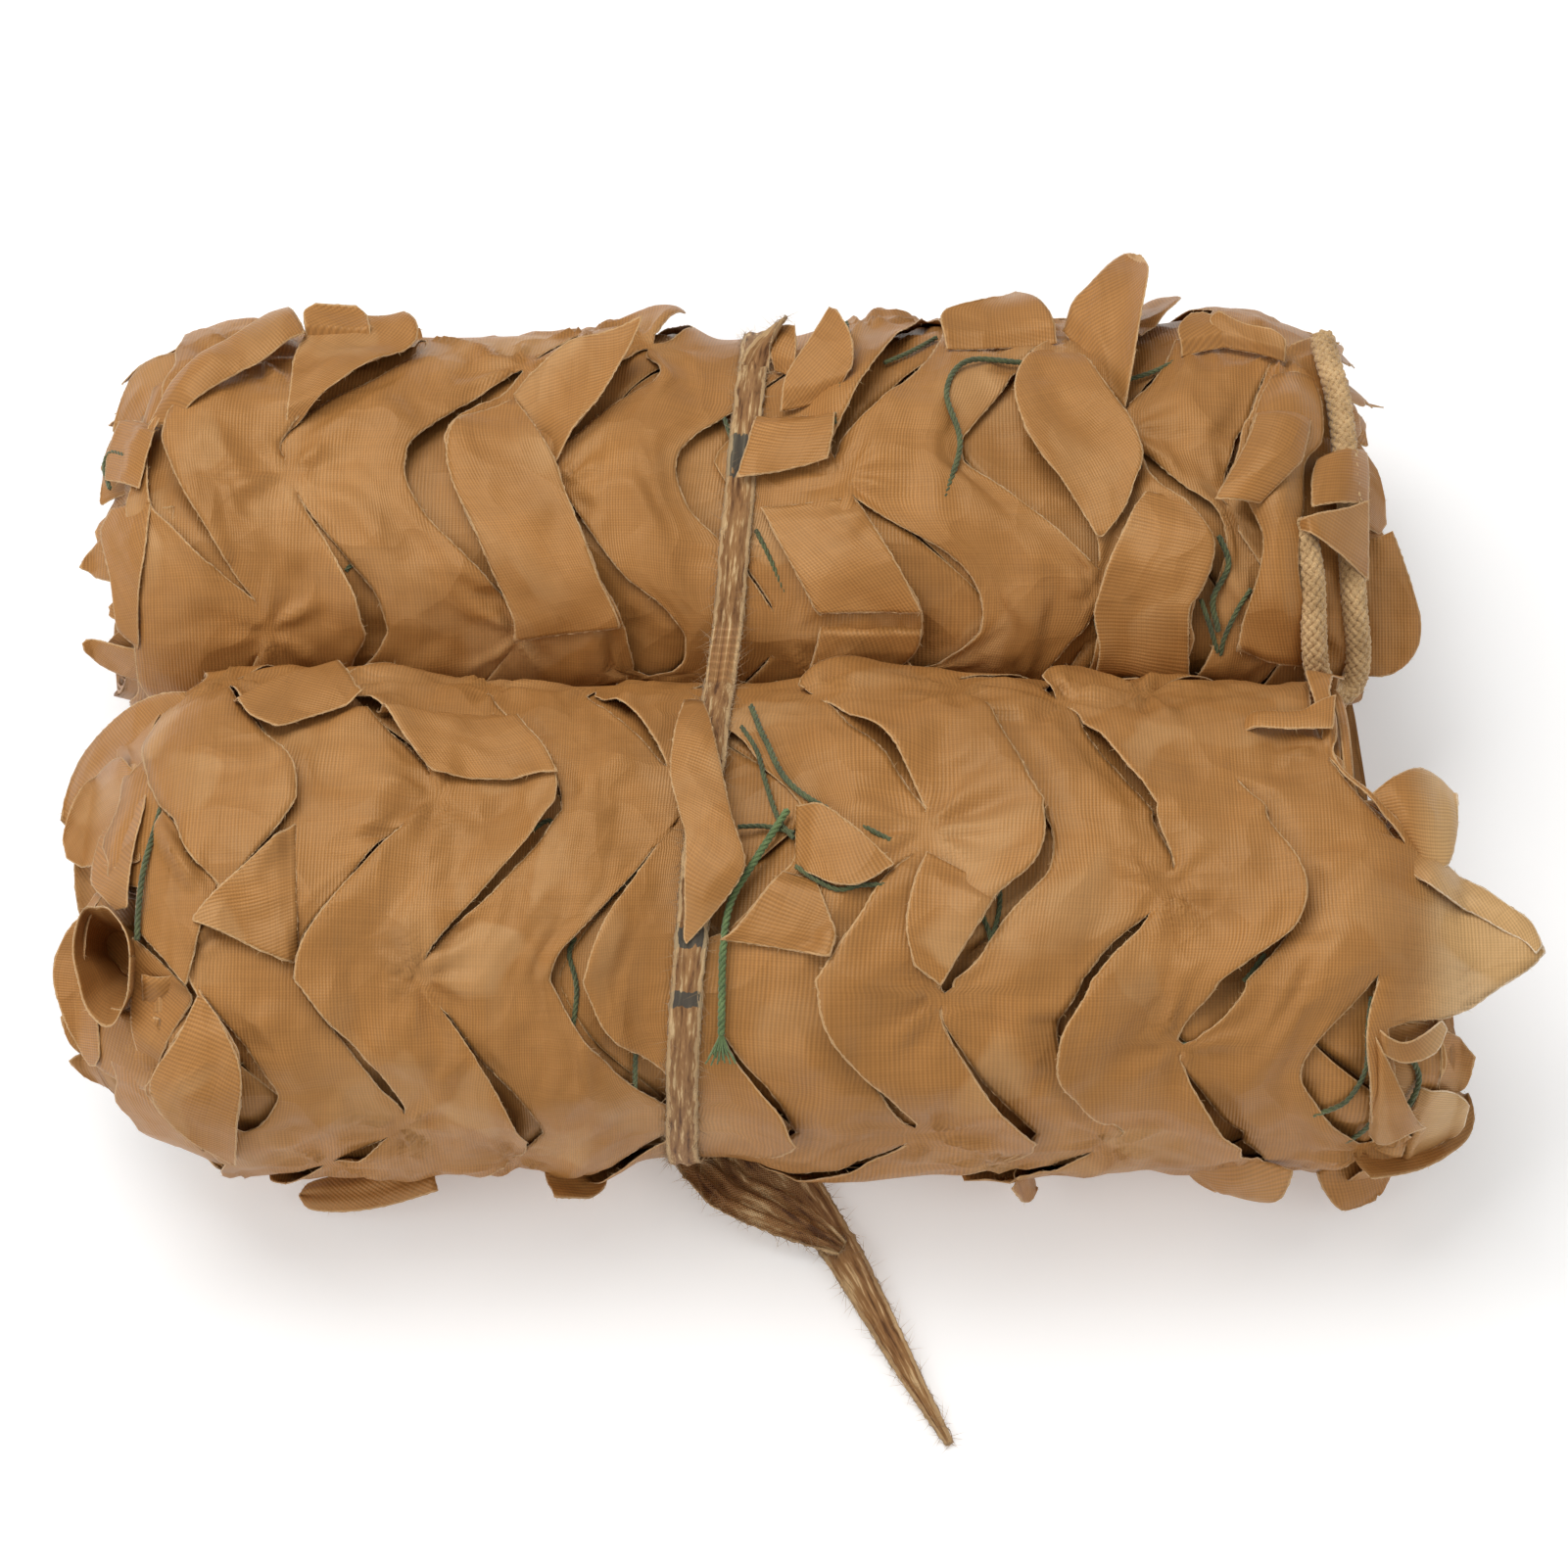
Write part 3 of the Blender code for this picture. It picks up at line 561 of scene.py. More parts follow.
# Each line has its slits, from and to in degrees, and its stops: an angle, and where the left and
# the right edge of the cut stand, in millimetres. The edges lie apart where the cut is open.
CUT_LINES = [CutLine(*row) for row in (
    (FRONT, 0, [(161, 220), (95, 143)], [
        (96, -153, -153), (103, -152, -144), (114, -149, -138), (123, -149, -144), (128, -148, -147),
        (135, -153, -153), (143, -160, -160), (161, -162, -163), (168, -154, -156), (175, -145, -146),
        (181, -137, -138), (183, -135, -137), (187, -135, -137), (192, -137, -139), (198, -144, -143),
        (205, -150, -148), (216, -157, -155)]),
    (FRONT, 1, [(191, 221), (107, 180), (85, 94)], [
        (88, -122, -121), (94, -111, -110), (107, -102, -101), (113, -109, -105), (120, -113, -109),
        (130, -120, -117), (140, -128, -127), (145, -132, -131), (150, -133, -133), (156, -132, -131),
        (160, -129, -128), (168, -121, -120), (175, -113, -111), (180, -104, -103), (191, -95, -95),
        (203, -109, -107), (220, -123, -122)]),
    (FRONT, 2, [(152, 227), (83, 138)], [
        (88, -61, -62), (94, -61, -56), (101, -63, -54), (109, -66, -60), (115, -70, -66),
        (122, -75, -75), (133, -84, -84), (138, -89, -88), (152, -96, -96), (160, -87, -86),
        (166, -79, -75), (173, -70, -66), (178, -61, -57), (182, -55, -52), (188, -52, -51),
        (191, -54, -53), (198, -59, -57), (207, -68, -67), (227, -81, -80)]),
    (FRONT, 3, [(194, 228), (105, 177)], [
        (106, -7, -2), (110, -14, -3), (118, -22, -5), (126, -29, -16), (132, -37, -25), (138, -43, -30),
        (144, -48, -34), (150, -49, -34), (154, -47, -33), (157, -41, -31), (163, -32, -27),
        (168, -24, -21), (171, -20, -19), (177, -14, -13), (194, -14, -12), (201, -21, -17),
        (210, -30, -26), (234, -43, -39)]),
    (FRONT, 4, [(155, 206), (76, 130)], [
        (81, 19, 18), (91, 26, 25), (98, 27, 27), (104, 26, 26), (114, 18, 21), (118, 15, 17),
        (125, 12, 13), (130, 10, 10), (156, 0, 7), (158, 1, 11), (164, 2, 16), (170, 3, 20),
        (172, 3, 24), (177, 4, 25), (182, 4, 24), (188, 4, 21), (193, 4, 15), (204, 5, 8)]),
    (FRONT, 5, [(183, 218), (100, 175)], [
        (100, 52, 54), (103, 50, 54), (106, 49, 52), (114, 46, 48), (120, 43, 43), (124, 40, 40),
        (134, 35, 34), (142, 34, 32), (146, 34, 32), (153, 37, 35), (161, 41, 40), (169, 45, 44),
        (173, 47, 48), (175, 53, 53), (183, 53, 53), (187, 49, 51), (193, 45, 47), (201, 38, 40),
        (214, 31, 32)]),
    (FRONT, 6, [(143, 211), (84, 138)], [
        (86, 79, 77), (91, 81, 80), (95, 80, 80), (106, 74, 75), (118, 67, 67), (129, 61, 62),
        (138, 57, 57), (145, 58, 62), (150, 61, 66), (156, 63, 69), (162, 67, 73), (167, 71, 78),
        (171, 78, 83), (175, 81, 84), (180, 82, 84), (183, 81, 81), (188, 78, 79), (198, 73, 74),
        (211, 68, 69)]),
    (FRONT, 7, [(173, 216), (94, 162)], [
        (94, 103, 104), (104, 96, 96), (114, 90, 89), (120, 88, 85), (126, 86, 85), (134, 85, 86),
        (139, 87, 89), (146, 92, 94), (154, 97, 100), (158, 102, 106), (162, 109, 109), (173, 117, 118),
        (178, 114, 114), (182, 110, 111), (190, 104, 104), (198, 97, 98), (206, 93, 93), (213, 93, 93)]),
    (FRONT, 8, [(129, 190), (72, 125)], [
        (78, 146, 147), (92, 136, 137), (101, 130, 131), (116, 121, 122), (125, 116, 116),
        (130, 115, 121), (134, 118, 128), (138, 121, 131), (144, 127, 136), (153, 138, 143),
        (158, 148, 148), (163, 152, 150), (169, 153, 151), (174, 151, 149), (178, 147, 146),
        (182, 142, 142), (189, 136, 136), (195, 131, 131), (209, 125, 125)]),
    (FRONT, 9, [(179, 196), (91, 147)], [
        (92, 171, 176), (98, 163, 174), (109, 156, 172), (118, 151, 171), (124, 152, 170),
        (131, 156, 169), (139, 164, 170), (147, 172, 173), (179, 183, 184), (182, 177, 178),
        (188, 169, 169), (196, 162, 163)]),
    (BACK, 0, [(153, 225)], [
        (156, -155, -154), (163, -163, -160), (170, -173, -170), (174, -178, -175), (180, -181, -176),
        (184, -181, -174), (192, -180, -169), (196, -179, -166), (200, -174, -163), (209, -165, -157),
        (218, -155, -152), (225, -146, -146)]),
    (BACK, 1, [(128, 183), (192, 253)], [
        (130, -107, -105), (137, -107, -103), (145, -108, -106), (153, -112, -111), (162, -120, -119),
        (166, -126, -126), (174, -135, -135), (183, -140, -140), (192, -136, -136), (199, -132, -131),
        (208, -126, -124), (216, -122, -118), (221, -119, -114), (228, -118, -112), (234, -117, -111),
        (238, -117, -112), (244, -120, -114), (252, -122, -120)]),
    (BACK, 2, [(156, 230)], [
        (157, -79, -76), (162, -84, -77), (167, -89, -81), (170, -92, -86), (176, -100, -94),
        (179, -104, -95), (181, -106, -95), (185, -107, -94), (191, -105, -92), (200, -99, -88),
        (209, -90, -83), (218, -81, -79), (230, -74, -74)]),
    (BACK, 3, [(148, 186), (192, 250)], [
        (152, -41, -37), (158, -42, -29), (160, -44, -28), (163, -44, -30), (168, -47, -39),
        (174, -51, -49), (178, -55, -54), (186, -63, -63), (193, -58, -58), (200, -54, -52),
        (208, -49, -45), (218, -44, -35), (224, -39, -23), (230, -36, -17), (236, -35, -14),
        (246, -32, -13)]),
    (BACK, 4, [(167, 204)], [
        (169, -3, -2), (173, -8, -4), (175, -14, -4), (180, -19, -4), (182, -21, -4), (186, -21, -4),
        (190, -19, -3), (196, -15, -4), (204, -4, -3)]),
    (BACK, 5, [(127, 183), (196, 248)], [
        (126, 49, 54), (142, 45, 56), (153, 41, 53), (165, 35, 46), (174, 30, 37), (179, 27, 31),
        (183, 26, 27), (196, 33, 33), (203, 38, 46), (209, 42, 57), (216, 46, 64), (222, 50, 67),
        (226, 52, 68), (232, 52, 68), (237, 51, 66), (243, 49, 61)]),
    (BACK, 6, [(147, 213), (229, 255)], [
        (148, 90, 91), (154, 83, 85), (163, 78, 79), (170, 73, 77), (175, 68, 78), (179, 64, 80),
        (182, 62, 83), (184, 61, 85), (187, 63, 87), (190, 70, 91), (197, 81, 97), (205, 92, 103),
        (211, 99, 104), (213, 103, 104), (229, 103, 103), (237, 96, 103), (246, 90, 102), (254, 85, 101)]),
    (BACK, 7, [(140, 174), (184, 250)], [
        (150, 120, 134), (159, 118, 130), (168, 115, 123), (174, 114, 114), (184, 120, 121),
        (188, 120, 127), (194, 127, 135), (196, 134, 143), (202, 139, 146), (207, 142, 148),
        (215, 141, 145), (223, 136, 142), (232, 134, 141), (241, 135, 142)]),
    (BACK, 8, [(158, 196)], [
        (159, 163, 164), (170, 159, 160), (179, 155, 156), (186, 149, 151), (196, 142, 143)]),
)]
LINE_SHIFTS = {  # millimetres that cut lines stand to the right of their even spacing
    FRONT.side: (0, 5, 3, 9, 1, 8, -2, 5, 0, 3),
    BACK.side: (-3, 0, 4, -2, 5, 0, -4, 3, 6, 0),
}
END_EDGES = {  # where the outer ply ends: side of the net, then angle and place in millimetres
    (FRONT.side, -1): (
        (45, -180), (66, -168), (80, -158), (86, -158), (96, -167), (105, -175), (115, -176), (131, -167),
        (144, -161), (161, -162), (167, -156), (175, -163), (184, -174), (191, -179), (207, -183),
        (221, -178), (235, -170)),
    (FRONT.side, 1): (
        (92, 186), (99, 178), (119, 174), (134, 172), (136, 182), (137, 191), (141, 201), (147, 209),
        (153, 217), (157, 221), (163, 218), (168, 211), (173, 203), (176, 195), (179, 187), (186, 173),
        (196, 164), (217, 165), (235, 172)),
    (BACK.side, -1): (
        (150, -176), (174, -176), (185, -182), (220, -184), (257, -184)),
    (BACK.side, 1): (
        (150, 178), (178, 178), (185, 173), (196, 171), (207, 169), (218, 170), (233, 173), (251, 178)),
}
COLUMN_STEP = 1.6 * MM
ROW_STEP = 1.9 * MM
LEAF_REACH = 15 * MM          # how far in from its edge a leaf has lifted
TUFT = 2.0 * MM               # how far the cloth stands up between the places that are tacked
SLACK = 0.008                 # how much longer the cloth is than the roll that it covers
CLOTH = 0.35 * MM             # its thickness
FLARE = 0.4                   # how steeply the ply's flap at the right end stands off the roll
FLARE_FROM = 186 * MM
PLAIN_END = 187               # where a ply beneath ends, in millimetres
HEM = 3 * MM                  # the least cloth between a cut line and the ply's end
LEFT_DRAWN_BACK = 15 * MM     # how far the plies beneath are drawn back at the front roll's ends
RIGHT_DRAWN_BACK = 19 * MM
PUCKER = 1.5 * MM             # of the cloth round a place that is tacked
TACK, TACK_REACH = 4 * MM, 17 * MM
CURL, CURL_REACH = 0.9 * MM, 4 * MM             # of a leaf's very edge
TUCK = 0.6 * MM               # of the cloth beneath a leaf's edge
CREASE_HEIGHT, BROAD_WAVES, FINE_WAVES = 2.2 * MM, 1.1 * MM, 0.6 * MM
LONGEST_BRIDGE = 30 * MM
THREAD_STIFFNESS, BEND_STIFFNESS = 0.9, 0.22    # share of a stretch taken back in each round
CELL = 2.5                    # millimetres along and degrees round, in the table of the ply's height
PLY_TOP_CELLS = (185, 125)


def reach_of(roll, side, angle):
    """How far the plies beneath reach: less in one place at each end of the front roll."""
    around = angle % 360
    if roll is not FRONT:
        return HALF_LENGTH + 0 * around
    if side > 0:
        return HALF_LENGTH - RIGHT_DRAWN_BACK * ease((around - 180) / 10) * ease((300 - around) / 20)
    return HALF_LENGTH - LEFT_DRAWN_BACK * ease((around - 130) / 8) * ease((176 - around) / 8)


def slipped(roll, angle, along):
    """How far the plies beneath have slipped at the ends, which leaves them uneven."""
    end = np.sign(along)
    slip = end * (4.5 * np.sin(angle / 47 + roll.side) + 3 * np.sin(angle / 19 + 2 * end)) * MM
    return slip * ease((abs(along) - 150 * MM) / (43 * MM))


def plain_cut(line, turn):
    """Rise, lap and gaps of a cut that no stops are set for: each different, but always the same."""
    chance = np.random.default_rng(1000 + 50 * line + turn).random(4)
    return (1.8 + 3 * chance[0]) * MM, (1 + 3 * chance[1]) * MM, 2 * chance[2] * MM, 3 * chance[3] * MM


def grid_faces(number):
    """The four corners of each cell in a grid of point numbers."""
    corners = (number[:-1, :-1], number[:-1, 1:], number[1:, 1:], number[1:, :-1])
    return np.stack([corner.ravel() for corner in corners], axis=1)


class LeafCloth:
    """One ply of die-cut cloth round a roll, as a grid whose columns follow the cut lines."""

    def __init__(self, roll, column_step, row_step, seed, offset=0.0, tallest=8 * MM, drawn=()):
        self.roll, self.seed, self.tallest = roll, seed, tallest
        angles, arcs = arc_table(roll)
        last = np.interp(-LAST_ANGLE, -angles, arcs)
        rows = int((last - arcs[0]) / row_step)
        self.arc = np.linspace(arcs[0], last, rows + 1)
        self.angle = np.interp(self.arc, arcs, angles)
        self.turned = 2 * pi * (self.arc - roll.apex) / roll.period
        swing = cut_swing(roll, self.arc)
        self.drawn = {cut.line: cut for cut in drawn if cut.roll is roll}
        self.left, self.right = [], []
        for line in range(LINES):
            place = roll.first_line + line * LINE_SPACING + LINE_SHIFTS[roll.side][line] * MM + offset
            room = ease((HALF_LENGTH - abs(place)) / (46 * MM))
            waver = 2.5 * MM * leaf_noise(self.arc / (60 * MM), np.full(rows + 1, line * 3.7), seed)
            regular = place + swing * ZIGZAG * room + waver
            if line in self.drawn:
                stops = np.array(self.drawn[line].stops[::-1], float)
                places = np.interp(-stops[:, 0], -angles, arcs)
                left, right = (self.through(regular, places, stops[:, edge] * MM) for edge in (1, 2))
            else:
                left = right = regular
            self.left.append(left)
            self.right.append(right)
        self.mark_cuts()
        self.left, self.right = (
            [np.clip(edge, HEM - self.reach(-1), self.reach(1) - HEM) for edge in edges]
            for edges in (self.left, self.right))
        self.lines = [(left + right) / 2 for left, right in zip(self.left, self.right)]
        self.ends = [self.end_edge(side) for side in (-1, 1)]
        self.lay_out(column_step)
        self.raise_leaves()

    def through(self, regular, places, wanted):
        """The even zigzag moved to pass through the stops of one edge."""
        moved = np.interp(self.arc, places, wanted - np.interp(places, self.arc, regular))
        weights = np.exp(-(np.arange(-4, 5) / 1.6) ** 2)
        moved = np.convolve(np.pad(moved, 4, mode="edge"), weights / weights.sum(), mode="valid")
        return regular + moved

    def reach(self, side):
        """How far the ply may reach on one side."""
        return HALF_LENGTH if self.drawn else reach_of(self.roll, side, self.angle) - 4 * MM

    def end_edge(self, side):
        """Where the ply ends on one side. A drawn ply's end keeps just past its last cut line."""
        plain = ((0, side * PLAIN_END), (300, side * PLAIN_END))
        stops = np.array(END_EDGES[self.roll.side, side] if self.drawn else plain)
        edge = np.interp(self.angle, stops[:, 0], stops[:, 1]) * MM
        uneven = leaf_noise(self.arc / (14 * MM), np.full(len(self.arc), side * 9.1), self.seed)
        edge += 2.5 * MM * uneven
        if not self.drawn:
            return side * np.minimum(abs(edge), self.reach(side))
        if side < 0:
            last = np.minimum(self.left[0], self.lines[0])
            return np.maximum(np.minimum(edge, last - MM), -HALF_LENGTH)
        return np.maximum(edge, np.maximum(self.right[-1], self.lines[-1]) + MM)

    def points_right(self, line):
        """Whether a line is cut at its right turns: every other line is, on both rolls."""
        return (line % 2 == 0) == (self.roll is FRONT)

    def mark_cuts(self):
        """For each line and row: is it cut, how far along that cut from -1 to 1, and its rise."""
        self.cut, self.along, self.lift = [], [], []
        for line in range(LINES):
            turned = self.turned / (2 * pi) + (0.0 if self.points_right(line) else 0.5)
            turn = np.floor(turned + 0.5).astype(int)
            along = 2 * (turned - turn) / BRIDGE
            cut = abs(along) < 1
            unseen = np.ones(len(self.arc), bool)
            lift, lap, above, below = np.array([plain_cut(line, number) for number in turn]).T
            if line in self.drawn:
                stops, slits = self.drawn[line].stops, self.drawn[line].slits
                unseen = (self.angle > stops[-1][0] + 8) | (self.angle < stops[0][0] - 8)
                cut &= unseen
                for low, high in slits:
                    inside = (self.angle >= low) & (self.angle <= high)
                    ends = self.arc[inside][[0, -1]]
                    along[inside] = 2 * (self.arc[inside] - ends[0]) / (ends[1] - ends[0]) - 1
                    cut |= inside
                    lift[inside] = (2.4 + 2.0 * abs(leaf_noise(line * 1.7, low * 0.13, 8.0))) * MM
            opened = np.where(cut & unseen, 1 - along ** 2, 0)
            bulge = np.maximum(0, np.cos(pi * along * BRIDGE)) * opened
            arms = np.where(along < 0, above, below) * 4 * abs(along) * (1 - abs(along)) * opened
            way = 1 if self.points_right(line) else -1
            over = way * (lap * bulge - 0.35 * arms)
            under = way * 0.65 * arms
            self.left[line] = self.left[line] + (over if way > 0 else under)
            self.right[line] = self.right[line] + (under if way > 0 else over)
            self.cut.append(cut & (self.angle > (60 if line else 100)) & (self.angle < 280))
            self.along.append(np.clip(along, -1, 1))
            self.lift.append(lift)

    def lay_out(self, column_step):
        """Number the points, with two for each place where the cloth is cut apart."""
        edges = [self.ends[0], *self.lines, self.ends[1]]
        self.bands, flat_x, flat_v, self.band_of = [], [], [], []
        count = 0
        for band, (left, right) in enumerate(zip(edges, edges[1:])):
            steps = max(3, round(float(np.mean(right - left)) / column_step))
            share = np.linspace(0, 1, steps + 1)[None, :]
            x = left[:, None] * (1 - share) + right[:, None] * share
            number = count + np.arange(x.size).reshape(x.shape)
            count += x.size
            if band:
                joined = ~self.cut[band - 1]
                number[joined, 0] = self.bands[-1][joined, -1]
            self.bands.append(number)
            flat_x.append(x.ravel())
            flat_v.append(np.repeat(self.arc, steps + 1))
            self.band_of.append(np.full(x.size, band))
        self.x = np.concatenate(flat_x)
        self.v = np.concatenate(flat_v)
        self.band_of = np.concatenate(self.band_of)
        self.row = np.clip(np.searchsorted(self.arc, self.v - 1e-9), 0, len(self.arc) - 1)

    def tacks(self):
        """The middles of the bridges, where the cloth is tacked to the mesh: (x, v) pairs."""
        found = []
        for place, cut in zip(self.lines, self.cut):
            changes = np.diff(np.concatenate([[1], cut, [1]]).astype(int))
            for start, end in zip(np.flatnonzero(changes < 0), np.flatnonzero(changes > 0)):
                if end - start < LONGEST_BRIDGE / (self.arc[1] - self.arc[0]):
                    row = (start + end - 1) // 2
                    found.append((place[row], self.arc[row]))
        return np.array(found)

    def raise_leaves(self):
        """Lift each leaf at its edge, tuck the cloth beneath it, and draw the cut open or over."""
        self.shift, self.height, self.floor, self.held = (np.zeros_like(self.x) for _ in range(4))
        self.ceiling = np.full_like(self.x, self.tallest)
        self.to_cut, from_tack = (np.full_like(self.x, 1.0) for _ in range(2))
        for number, (x, v) in enumerate(self.tacks()):
            away = np.hypot(self.x - x, self.v - v)
            bearing = np.arctan2(self.v - v, self.x - x)
            from_tack = np.minimum(from_tack, away)
            self.held = np.maximum(self.held, np.exp(-(away / TACK) ** 2))
            pucker = 1 - 1.9 * abs(np.sin(bearing * (5 + number % 3) / 2 + 1.7 * number))
            pucker += 0.5 * np.cos(bearing * 9 + number)
            spread = ease(away / TACK) * np.exp(-(away / TACK_REACH) ** 2)
            self.height += PUCKER * pucker * spread
        self.height += TUFT * (1 - np.exp(-(from_tack / TACK_REACH) ** 2))
        for line, place in enumerate(self.lines):
            calm = ease((self.angle - 40) / 25) * ease((262 - self.angle) / 20)
            opened = np.where(self.cut[line], 1 - self.along[line] ** 2, 0) * calm
            bulge = np.cos(pi / 2 * self.along[line]) ** 2 * opened
            points_right = self.points_right(line)
            for band, edge in ((line, self.left[line]), (line + 1, self.right[line])):
                mine = self.band_of == band
                row = self.row[mine]
                away = abs(self.x[mine] - place[row])
                reach = np.exp(-(away / LEAF_REACH) ** 2)
                self.shift[mine] += (edge - place)[row] * self.cut[line][row] * reach
                if (band == line) == points_right:
                    rise = self.lift[line][row] * (0.35 * opened[row] + 0.65 * bulge[row])
                    curl = np.exp(-(away / CURL_REACH) ** 2) * CURL * bulge[row]
                    self.height[mine] += rise * reach + curl
                    self.floor[mine] += rise * 0.75 * np.exp(-(away / (7 * MM)) ** 2)
                else:
                    self.height[mine] -= TUCK * opened[row] * reach
                    gap = (self.right[line] - self.left[line])[row]
                    covered = (opened[row] > 0.02) & (gap < 1.5 * MM)
                    sunk = 0.5 * MM + 7.5 * MM * ease((away - 3 * MM) / (20 * MM))
                    under = np.minimum(sunk, self.ceiling[mine])
                    self.ceiling[mine] = np.where(covered, under, self.ceiling[mine])
                self.to_cut[mine] = np.minimum(
                    self.to_cut[mine], np.where(self.cut[line][row], away, 1.0))
        tie = ease((abs(self.x) - 9 * MM) / (22 * MM))
        angle = self.angle[self.row]
        low = np.minimum(ease((angle - 20) / 30), 1)
        creased = ease((268 - angle) / 22)
        broad = leaf_noise(self.x / (42 * MM), self.v / (50 * MM), self.seed + 0.3)
        fine = leaf_noise(self.x / (15 * MM), self.v / (22 * MM), self.seed + 7.7)
        worn = creases(self.x / (19 * MM), self.v / (23 * MM), int(self.seed) + 40)
        worn += 0.5 * creases(self.x / (8 * MM), self.v / (9 * MM), int(self.seed) + 60)
        uneven = BROAD_WAVES * broad + FINE_WAVES * fine + CREASE_HEIGHT * worn
        self.height += uneven * low * creased
        self.height *= 0.12 + 0.88 * tie
        self.height *= low * creased
        self.height = np.minimum(self.height, self.tallest)
        self.floor *= tie * low * creased
        self.ceiling = np.where(angle < 34, 0.25 * MM, self.ceiling)
        self.ceiling = np.where(angle > 262, 0.6 * MM, self.ceiling)
        self.ceiling = np.minimum(self.ceiling, 0.7 * MM + 12 * MM * tie)
        left_end, right_end = (end[self.row] for end in self.ends)
        self.to_cut = np.minimum(self.to_cut, np.minimum(self.x - left_end, right_end - self.x))

    def links(self):
        """Pairs of points that the cloth holds at a length: threads, bias and bending."""
        threads, bending = [], []
        for number in self.bands:
            threads += [(number[:, :-1], number[:, 1:]), (number[:-1], number[1:]),
                        (number[:-1, :-1], number[1:, 1:]), (number[:-1, 1:], number[1:, :-1])]
            bending += [(number[:, :-2], number[:, 2:]), (number[:-2], number[2:])]
        for line in range(LINES):
            joined = ~self.cut[line]
            bending.append((self.bands[line][joined, -2], self.bands[line + 1][joined, 1]))
        return [np.stack([np.concatenate([pair[side].ravel() for pair in pairs]) for side in (0, 1)])
                for pairs in (threads, bending)]

    def settled(self, base, rounds, slack):
        """Lay the cloth on the roll and let it wrinkle, as thread and bending allow.

        Each round moves linked points towards their length in the flat cloth, and then keeps every
        point between the roll beneath and the ceiling above.
        """
        angle = self.angle[self.row]
        across = self.x + self.shift
        slip = 0 if self.drawn else slipped(self.roll, angle, self.x)
        flare = FLARE * np.maximum(0, across - FLARE_FROM)
        skin = on_roll(self.roll, across, angle, -base - flare)
        skin[:, 0] += slip
        outward = on_roll(self.roll, across, angle, -base - flare - MM)
        outward[:, 0] += slip
        outward -= skin
        outward /= np.linalg.norm(outward, axis=1)[:, None]
        point = skin + outward * self.height[:, None]
        threads, bending = self.links()
        held = self.held
        sets = []
        for pairs, stiff, spare in ((threads, THREAD_STIFFNESS, slack),
                                    (bending, BEND_STIFFNESS, slack * 0.6)):
            length = np.linalg.norm(point[pairs[0]] - point[pairs[1]], axis=1)
            gathered = 1 - 0.5 * np.maximum(held[pairs[0]], held[pairs[1]])
            sets.append((pairs, length * (1 + spare) * gathered, stiff))
        home = point.copy()
        lowest = np.where(held > 0.4, -0.3 * MM, self.floor)
        highest = np.where(held > 0.4, 0.2 * MM, np.maximum(self.ceiling, self.floor + 0.1 * MM))
        for _ in range(rounds):
            for pairs, length, stiff in sets:
                first, second = pairs
                gap = point[second] - point[first]
                now = np.linalg.norm(gap, axis=1)
                push = gap * (stiff * 0.5 * (now - length) / np.maximum(now, 1e-9))[:, None]
                count = partial(np.bincount, minlength=len(point))
                total = np.stack([count(first, part) - count(second, part) for part in push.T], axis=1)
                met = count(first) + count(second)
                point += 1.5 * total / np.maximum(met, 1)[:, None]
            point += (home - point) * 0.02
            height = ((point - skin) * outward).sum(axis=1)
            kept = np.clip(height, lowest, highest)
            point += outward * (kept - height)[:, None]
        point[:, 2] = np.maximum(point[:, 2], 0.3 * MM)
        self.point = point
        self.top = np.zeros(PLY_TOP_CELLS)
        column, row = self.top_cells(across, angle)
        np.maximum.at(self.top, (np.rint(column).astype(int), np.rint(row).astype(int)),
                      base + ((point - skin) * outward).sum(axis=1))
        wide, long = PLY_TOP_CELLS
        around = np.pad(self.top, 1, mode="edge")
        self.top = np.max([around[i:i + wide, j:j + long] for i in range(3) for j in range(3)], axis=0)

    def top_cells(self, along, angle):
        """Where places are in the table of the ply's height."""
        wide, long = PLY_TOP_CELLS
        return np.clip(along / (CELL * MM) + wide // 2, 0, wide - 2), np.clip(angle / CELL, 0, long - 2)

    def height_at(self, along, angle):
        """How far the ply stands over the plain roll."""
        column, row = self.top_cells(along, angle)
        left, low = column.astype(int), row.astype(int)
        across, up = column - left, row - low
        return ((1 - across) * (1 - up) * self.top[left, low]
                + across * (1 - up) * self.top[left + 1, low]
                + (1 - across) * up * self.top[left, low + 1]
                + across * up * self.top[left + 1, low + 1])

    def piece(self, name):
        """The ply as a mesh, whose faces point outwards on both rolls."""
        faces = np.concatenate([grid_faces(number) for number in self.bands])
        if self.roll.side < 0:
            faces = faces[:, ::-1]
        return cloth_piece(name, self.point, faces, np.stack([self.x, self.v], axis=1), self.to_cut,
                           LEAF_CLOTH)


def cloth_piece(name, points, faces, flat, to_cut, surface, thickness=CLOTH):
    """A mesh of cloth: its flat place in metres is its UV map, and Cut holds the way to an edge."""
    kept = np.unique(faces)
    renumbered = np.zeros(len(points), int)
    renumbered[kept] = np.arange(len(kept))
    faces = renumbered[faces]
    mesh = bpy.data.meshes.new(name)
    mesh.from_pydata(points[kept], [], faces.tolist())
    mesh.uv_layers.new(name="Flat").uv.foreach_set("vector", flat[kept][faces.ravel()].ravel())
    mesh.attributes.new("Cut", "FLOAT", "POINT").data.foreach_set("value", to_cut[kept] / MM)
    mesh.shade_smooth()
    mesh.materials.append(surface)
    piece = added(name, mesh)
    if thickness:
        wall = piece.modifiers.new("thickness", "SOLIDIFY")
        wall.thickness = thickness
        wall.offset = 0
    return piece


# Painted light: the colour is multiplied by this where light would come through a single ply.
PAINTED_THROUGH_LIGHT = (1.45, 1.95, 3.0)   # how much paler the single ply is that light comes through
RIB, PICK = 1.0 * MM, 0.8 * MM    # the weave's spacing across and down


